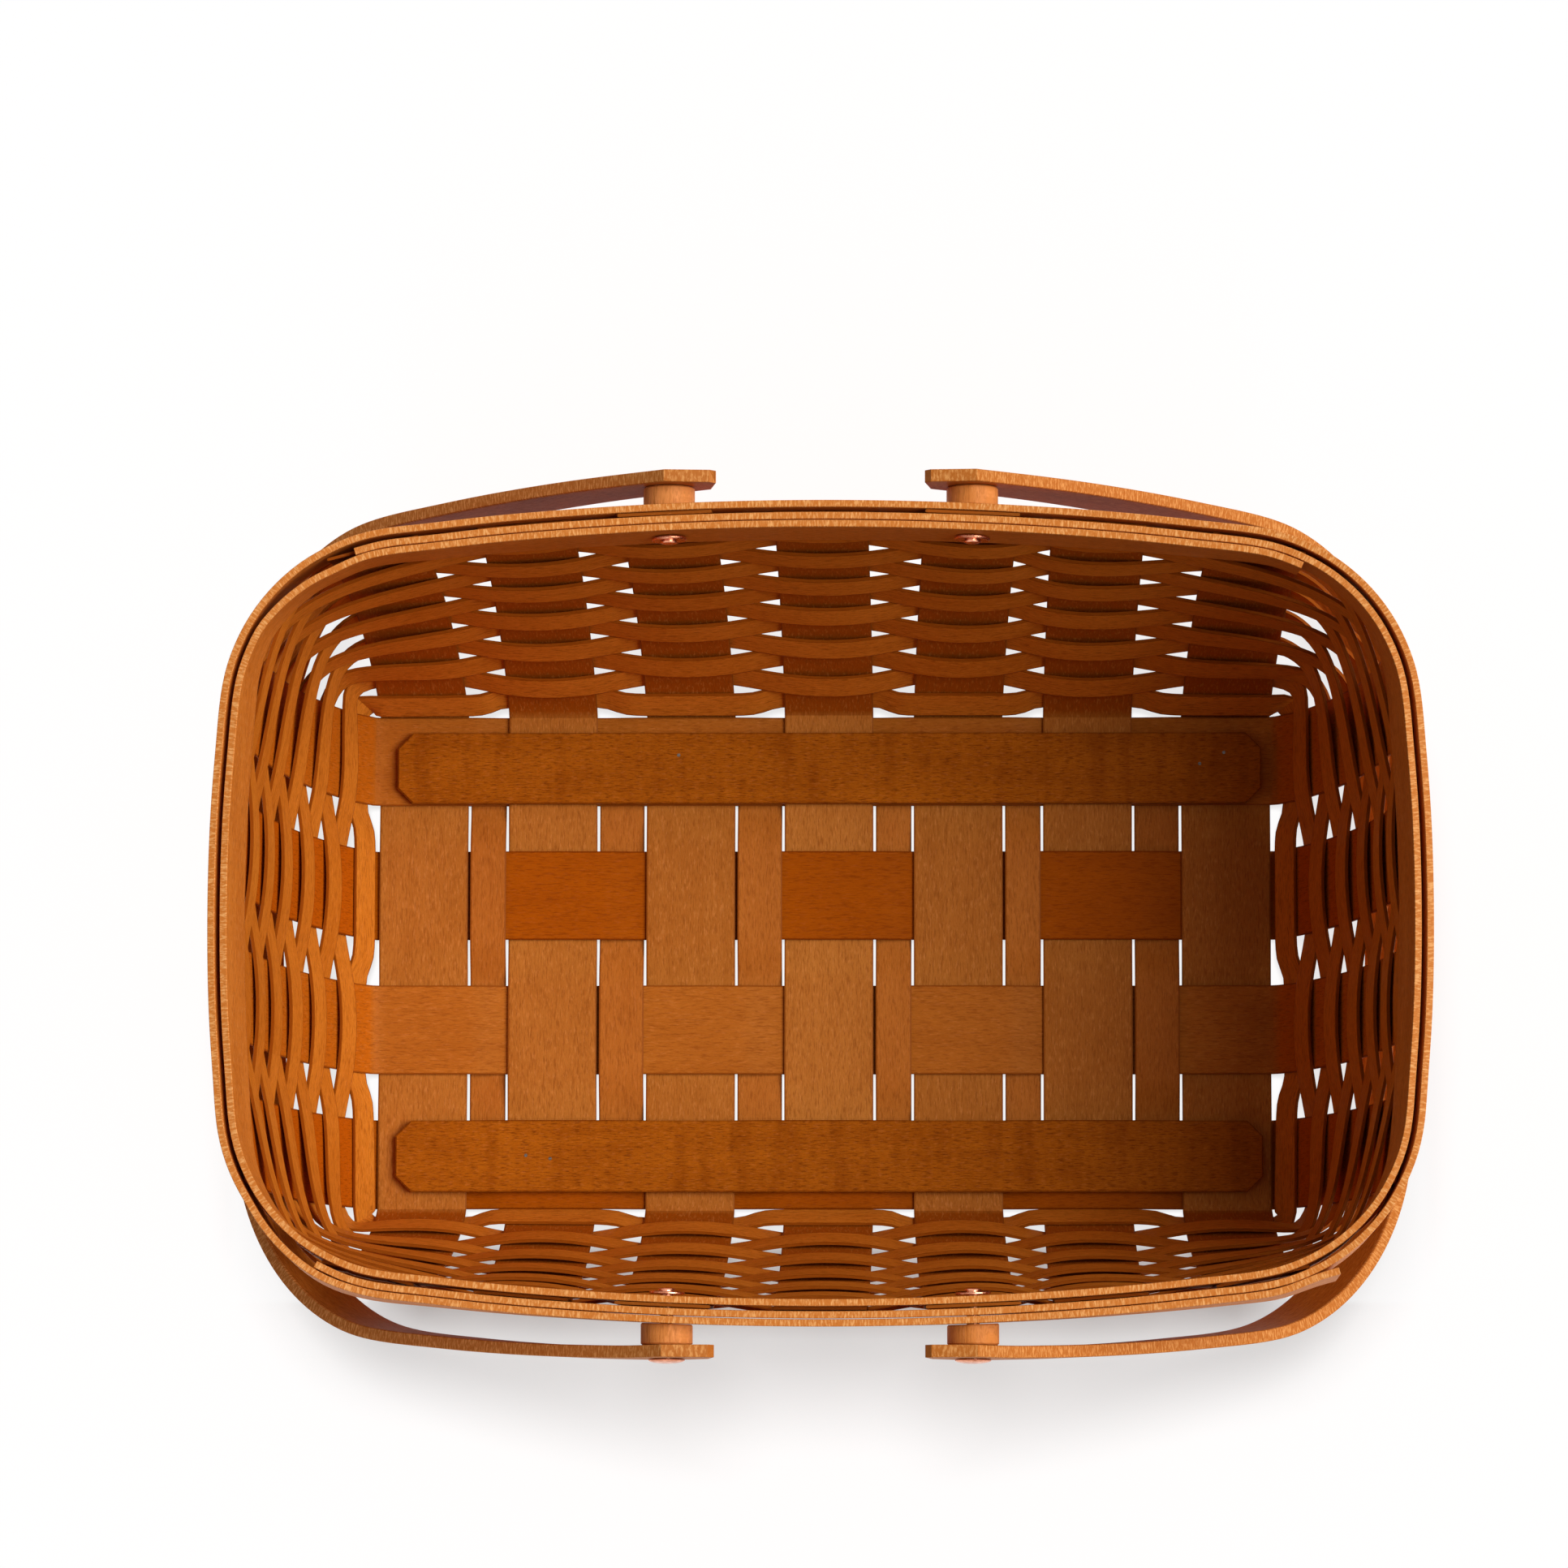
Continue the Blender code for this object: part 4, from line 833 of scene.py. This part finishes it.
def make_brads(side):
    """The brads that show in a floor rail, each at its share of the rail's length and width."""
    low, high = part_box(f"floor_rail_{side}")
    shape = bmesh.new()
    for along, across in BRAD_SHARES[side]:
        x = low.x + along * (high.x - low.x)
        y = low.y + across * (high.y - low.y)
        place = Matrix.Translation((x, y, high.z + BRAD_PROUD - BRAD_LENGTH / 2))
        bmesh.ops.create_cone(
            shape,
            cap_ends=True,
            segments=BRAD_SIDES,
            radius1=BRAD_RADIUS,
            radius2=BRAD_RADIUS,
            depth=BRAD_LENGTH,
            matrix=place,
        )
    mesh = bpy.data.meshes.new(f"brads_{side}")
    shape.to_mesh(mesh)
    shape.free()
    thing = finish_mesh(f"brads_{side}", mesh)
    thing.data.materials.append(STEEL)
    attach(thing, "root")


def lathe(name, profile, place):
    """A closed round solid from (radius, height) points, top first, turned about its Z axis."""
    shape = bmesh.new()
    verts = [shape.verts.new((radius, 0.0, height)) for radius, height in profile]
    edges = [shape.edges.new(pair) for pair in zip(verts, verts[1:])]
    bmesh.ops.spin(
        shape,
        geom=verts + edges,
        axis=(0, 0, 1),
        cent=(0, 0, 0),
        angle=2 * math.pi,
        steps=TURN_SIDES,
        use_merge=True,
        use_duplicate=False,
    )
    bmesh.ops.remove_doubles(shape, verts=shape.verts, dist=WELD)
    bmesh.ops.recalc_face_normals(shape, faces=shape.faces)
    bmesh.ops.transform(shape, matrix=place, verts=shape.verts)
    mesh = bpy.data.meshes.new(name)
    shape.to_mesh(mesh)
    shape.free()
    return finish_mesh(name, mesh)


def domed(radius, low, high):
    """Profile of a shallow dome, from its crown out to its rim."""
    points = []
    for i in range(DOME_STEPS + 1):
        angle = math.pi / 2 * i / DOME_STEPS
        points.append((radius * math.sin(angle), low + (high - low) * math.cos(angle)))
    return points


def make_rivet(side, end):
    """A copper rivet: domed head, shank and a hammered end."""
    node = f"rivet_{side}_{end}"
    low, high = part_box(node)
    sign = 1 if side == "back" else -1
    outer, inner = (high.y, low.y) if sign > 0 else (-low.y, -high.y)
    head_radius = (high.x - low.x) / 2
    head_low = outer - RIVET_HEAD
    peen = inner + PEEN_HEIGHT
    profile = domed(head_radius, head_low + RIVET_EDGE, outer)
    profile += [(head_radius * RIVET_TAPER, head_low), (RIVET_SHANK, head_low)]
    profile += [(RIVET_SHANK, peen), (PEEN_RADIUS, peen)]
    profile.append((PEEN_RADIUS * PEEN_SHOULDER_SHARE, peen - PEEN_SHOULDER))
    profile.append((PEEN_RADIUS * PEEN_CROWN_SHARE, inner + PEEN_CROWN))
    profile.append((0.0, inner))
    turn = Vector((0.0, sign, 0.0)).to_track_quat("Z", "Y").to_matrix().to_4x4()
    place = Matrix.Translation(((low.x + high.x) / 2, 0.0, (low.z + high.z) / 2)) @ turn
    stand_for(lathe("turned_" + node, profile, place), node, COPPER)


def make_burr(side, end):
    """A copper washer with rounded edges, square to its CAD solid's own axis."""
    node = f"burr_{side}_{end}"
    places = np.array([v.co for v in NODES[node].data.vertices])
    centre = (places.min(0) + places.max(0)) / 2
    axis = Vector(np.linalg.svd(places - places.mean(0))[2][-1])
    spread = (places - centre) @ np.array(axis)
    half = (spread.max() - spread.min()) / 2
    across = np.linalg.norm(places - centre - np.outer(spread, np.array(axis)), axis=1)
    radius, bore = across.max(), across.min()
    soft = half * BURR_SOFT
    profile = [(bore, half), (radius - soft, half), (radius, half - soft), (radius, soft - half)]
    profile += [(radius - soft, -half), (bore, -half), (bore, half)]
    place = Matrix.Translation(centre) @ axis.to_track_quat("Z", "Y").to_matrix().to_4x4()
    stand_for(lathe("turned_" + node, profile, place), node, COPPER)


def make_spacer(side, end):
    """A wooden spacer with its grain along the hinge, cut to the lean of the rim."""
    node = f"spacer_{side}_{end}"
    places = np.array([v.co for v in NODES[node].data.vertices])
    low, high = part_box(node)
    sign = 1 if side == "back" else -1
    outer = high.y if sign > 0 else low.y
    x, z, radius = (low.x + high.x) / 2, (low.z + high.z) / 2, (high.x - low.x) / 2
    foot = places[np.abs(places[:, 1] - outer) > SPACER_FACE_REACH]
    system = np.column_stack([np.ones(len(foot)), foot[:, 0], foot[:, 2]])
    lean = np.linalg.lstsq(system, foot[:, 1], rcond=None)[0]
    profile = [(SPACER_BORE, 1.0), (radius - SPACER_EASE, 1.0), (radius, 1 - SPACER_EDGE_SHARE)]
    profile += [(radius, SPACER_EDGE_SHARE), (radius - SPACER_FOOT_EASE, 0.0), (SPACER_BORE, 0.0)]
    points = []
    for r, share in profile:
        for i in range(TURN_SIDES):
            angle = 2 * math.pi * i / TURN_SIDES
            px, pz = x + r * math.cos(angle), z + r * math.sin(angle)
            bottom = lean[0] + lean[1] * px + lean[2] * pz
            points.append((px, bottom + (outer - bottom) * share, pz))
    faces = []
    for k in range(len(profile)):
        own, after = k * TURN_SIDES, (k + 1) % len(profile) * TURN_SIDES
        for i in range(TURN_SIDES):
            j = (i + 1) % TURN_SIDES
            faces.append((own + i, own + j, after + j, after + i))
    mesh = bpy.data.meshes.new(node)
    mesh.from_pydata(points, [], faces)
    seed = SPACER_SEED + x * SPACER_SEED_STEP + sign
    grain_from_places(mesh, seed, along=1, across=0, through=2)
    add_attribute(mesh, "edge", "FLOAT", "POINT", np.full(len(points), SPACER_UNWORN))
    stand_for(finish_mesh("turned_" + node, mesh), node, SPACER_WOOD)


def make_stage():
    """A pale floor that glows a little where it is seen, more under the basket, where this painted
    light lightens the basket's shadow, and least at the basket's front foot, where that shadow shows
    darker.
    """
    mesh = bpy.data.meshes.new("floor")
    shape = bmesh.new()
    bmesh.ops.create_grid(shape, x_segments=1, y_segments=1, size=STAGE_HALF)
    shape.to_mesh(mesh)
    shape.free()
    floor = bpy.data.objects.new("floor", mesh)
    bpy.context.scene.collection.objects.link(floor)
    g = Graph("floor_white")
    g.shader.inputs["Base Color"].default_value = FLOOR_COLOUR
    g.shader.inputs["Roughness"].default_value = 1.0
    g.shader.inputs["Specular IOR Level"].default_value = 0.0
    place = g.add("ShaderNodeTexCoord").outputs["Object"]
    axes = g.add("ShaderNodeSeparateXYZ", {0: place}).outputs
    aside = g.math("ABSOLUTE", axes[0])
    near_middle = g.ramp(aside, *FOOT_ENDS)
    set_back = g.math("SUBTRACT", axes[1], g.math("MULTIPLY", near_middle, FOOT_DEPTH))
    # Painted light: under the basket the glow rises and lightens the basket's shadow there; at the
    # front foot it drops, so the shadow shows darker
    at_foot = g.math("MULTIPLY", near_middle, g.ramp(axes[1], *FOOT_FRONT))
    between = g.math("MULTIPLY", g.ramp(axes[1], *UNDER_BACK), g.ramp(set_back, *UNDER_FRONT))
    under = g.math("MULTIPLY", g.ramp(aside, *UNDER_ENDS), between)
    dim = g.math("SUBTRACT", FLOOR_GLOW, g.math("MULTIPLY", at_foot, FLOOR_GLOW - FOOT_GLOW))
    glow = g.math("MAXIMUM", g.math("MULTIPLY", under, UNDER_GLOW), dim)
    white = g.add("ShaderNodeEmission", {"Color": WHITE, "Strength": 1.0}).outputs[0]
    share = g.math("MULTIPLY", glow, seen_ray(g))
    shown = g.add("ShaderNodeMixShader", {0: share, 1: g.shader.outputs[0], 2: white}).outputs[0]
    below = g.add("ShaderNodeNewGeometry").outputs["Backfacing"]
    clear = g.add("ShaderNodeBsdfTransparent").outputs[0]
    both = g.add("ShaderNodeMixShader", {0: below, 1: shown, 2: clear}).outputs[0]
    g.tree.links.new(both, g.tree.nodes["Material Output"].inputs["Surface"])
    mesh.materials.append(g.material)
    return floor


def seen_ray(g):
    """1 for the rays that show a background: the camera's and those that gloss and glass send on."""
    path = g.add("ShaderNodeLightPath").outputs
    sent_on = g.math("MAXIMUM", path["Is Glossy Ray"], path["Is Transmission Ray"])
    return g.math("MAXIMUM", path["Is Camera Ray"], sent_on)


class WorldGraph(Graph):
    """The same helper on a world."""

    def __init__(self, world):
        world.use_nodes = True
        self.tree = world.node_tree
        self.shader = self.tree.nodes["Background"]


def make_world():
    """White surroundings that light the object weakly."""
    world = bpy.data.worlds.new("studio")
    bpy.context.scene.world = world
    g = WorldGraph(world)
    strength = g.math("ADD", g.math("MULTIPLY", seen_ray(g), 1.0 - WORLD_LIGHT), WORLD_LIGHT)
    g.shader.inputs["Color"].default_value = WHITE
    g.put(strength, g.shader.inputs["Strength"])


def make_sun(name, strength, angle, come_from, floor, floor_only):
    """A soft sun that lights either the floor alone or all but the floor."""
    light = bpy.data.lights.new(name, "SUN")
    light.energy = strength
    light.angle = math.radians(angle)
    sun = bpy.data.objects.new(name, light)
    bpy.context.scene.collection.objects.link(sun)
    sun.rotation_mode = "QUATERNION"
    sun.rotation_quaternion = Vector(come_from).to_track_quat("Z", "Y")
    lit = bpy.data.collections.new(name + "_lit")
    lit.objects.link(floor)
    sun.light_linking.receiver_collection = lit
    lit.collection_objects[0].light_linking.link_state = "INCLUDE" if floor_only else "EXCLUDE"


def make_camera():
    """The camera where the photograph was taken from, nearly above the basket."""
    data = bpy.data.cameras.new("camera")
    data.sensor_fit = "HORIZONTAL"
    data.sensor_width = SENSOR
    data.lens = FOCAL_PIXELS / IMAGE_SIDE * SENSOR
    data.clip_start, data.clip_end = CAMERA_CLIP
    camera = bpy.data.objects.new("camera", data)
    camera.location = CAMERA_PLACE
    camera.rotation_euler = [math.radians(turn) for turn in CAMERA_TURN]
    bpy.context.scene.collection.objects.link(camera)
    bpy.context.scene.camera = camera


make_camera()
make_splints()
make_bands_and_handles()
for board_place, board_side in enumerate(("back", "front")):
    make_board(f"floor_rail_{board_side}", RAIL_SEED + board_place)
    make_board(f"runner_{board_side}", RUNNER_SEED + board_place)
    make_brads(board_side)
for hinge_side in ("back", "front"):
    for hinge_end in ("left", "right"):
        make_rivet(hinge_side, hinge_end)
        make_burr(hinge_side, hinge_end)
        make_spacer(hinge_side, hinge_end)
stage_floor = make_stage()
make_world()
make_sun("key", KEY_STRENGTH, KEY_ANGLE, KEY_FROM, stage_floor, False)
make_sun("floor_light", FLOOR_SUN_STRENGTH, FLOOR_SUN_ANGLE, FLOOR_SUN_FROM, stage_floor, True)
bpy.context.scene.view_settings.view_transform = "Standard"

bpy.context.view_layer.update()
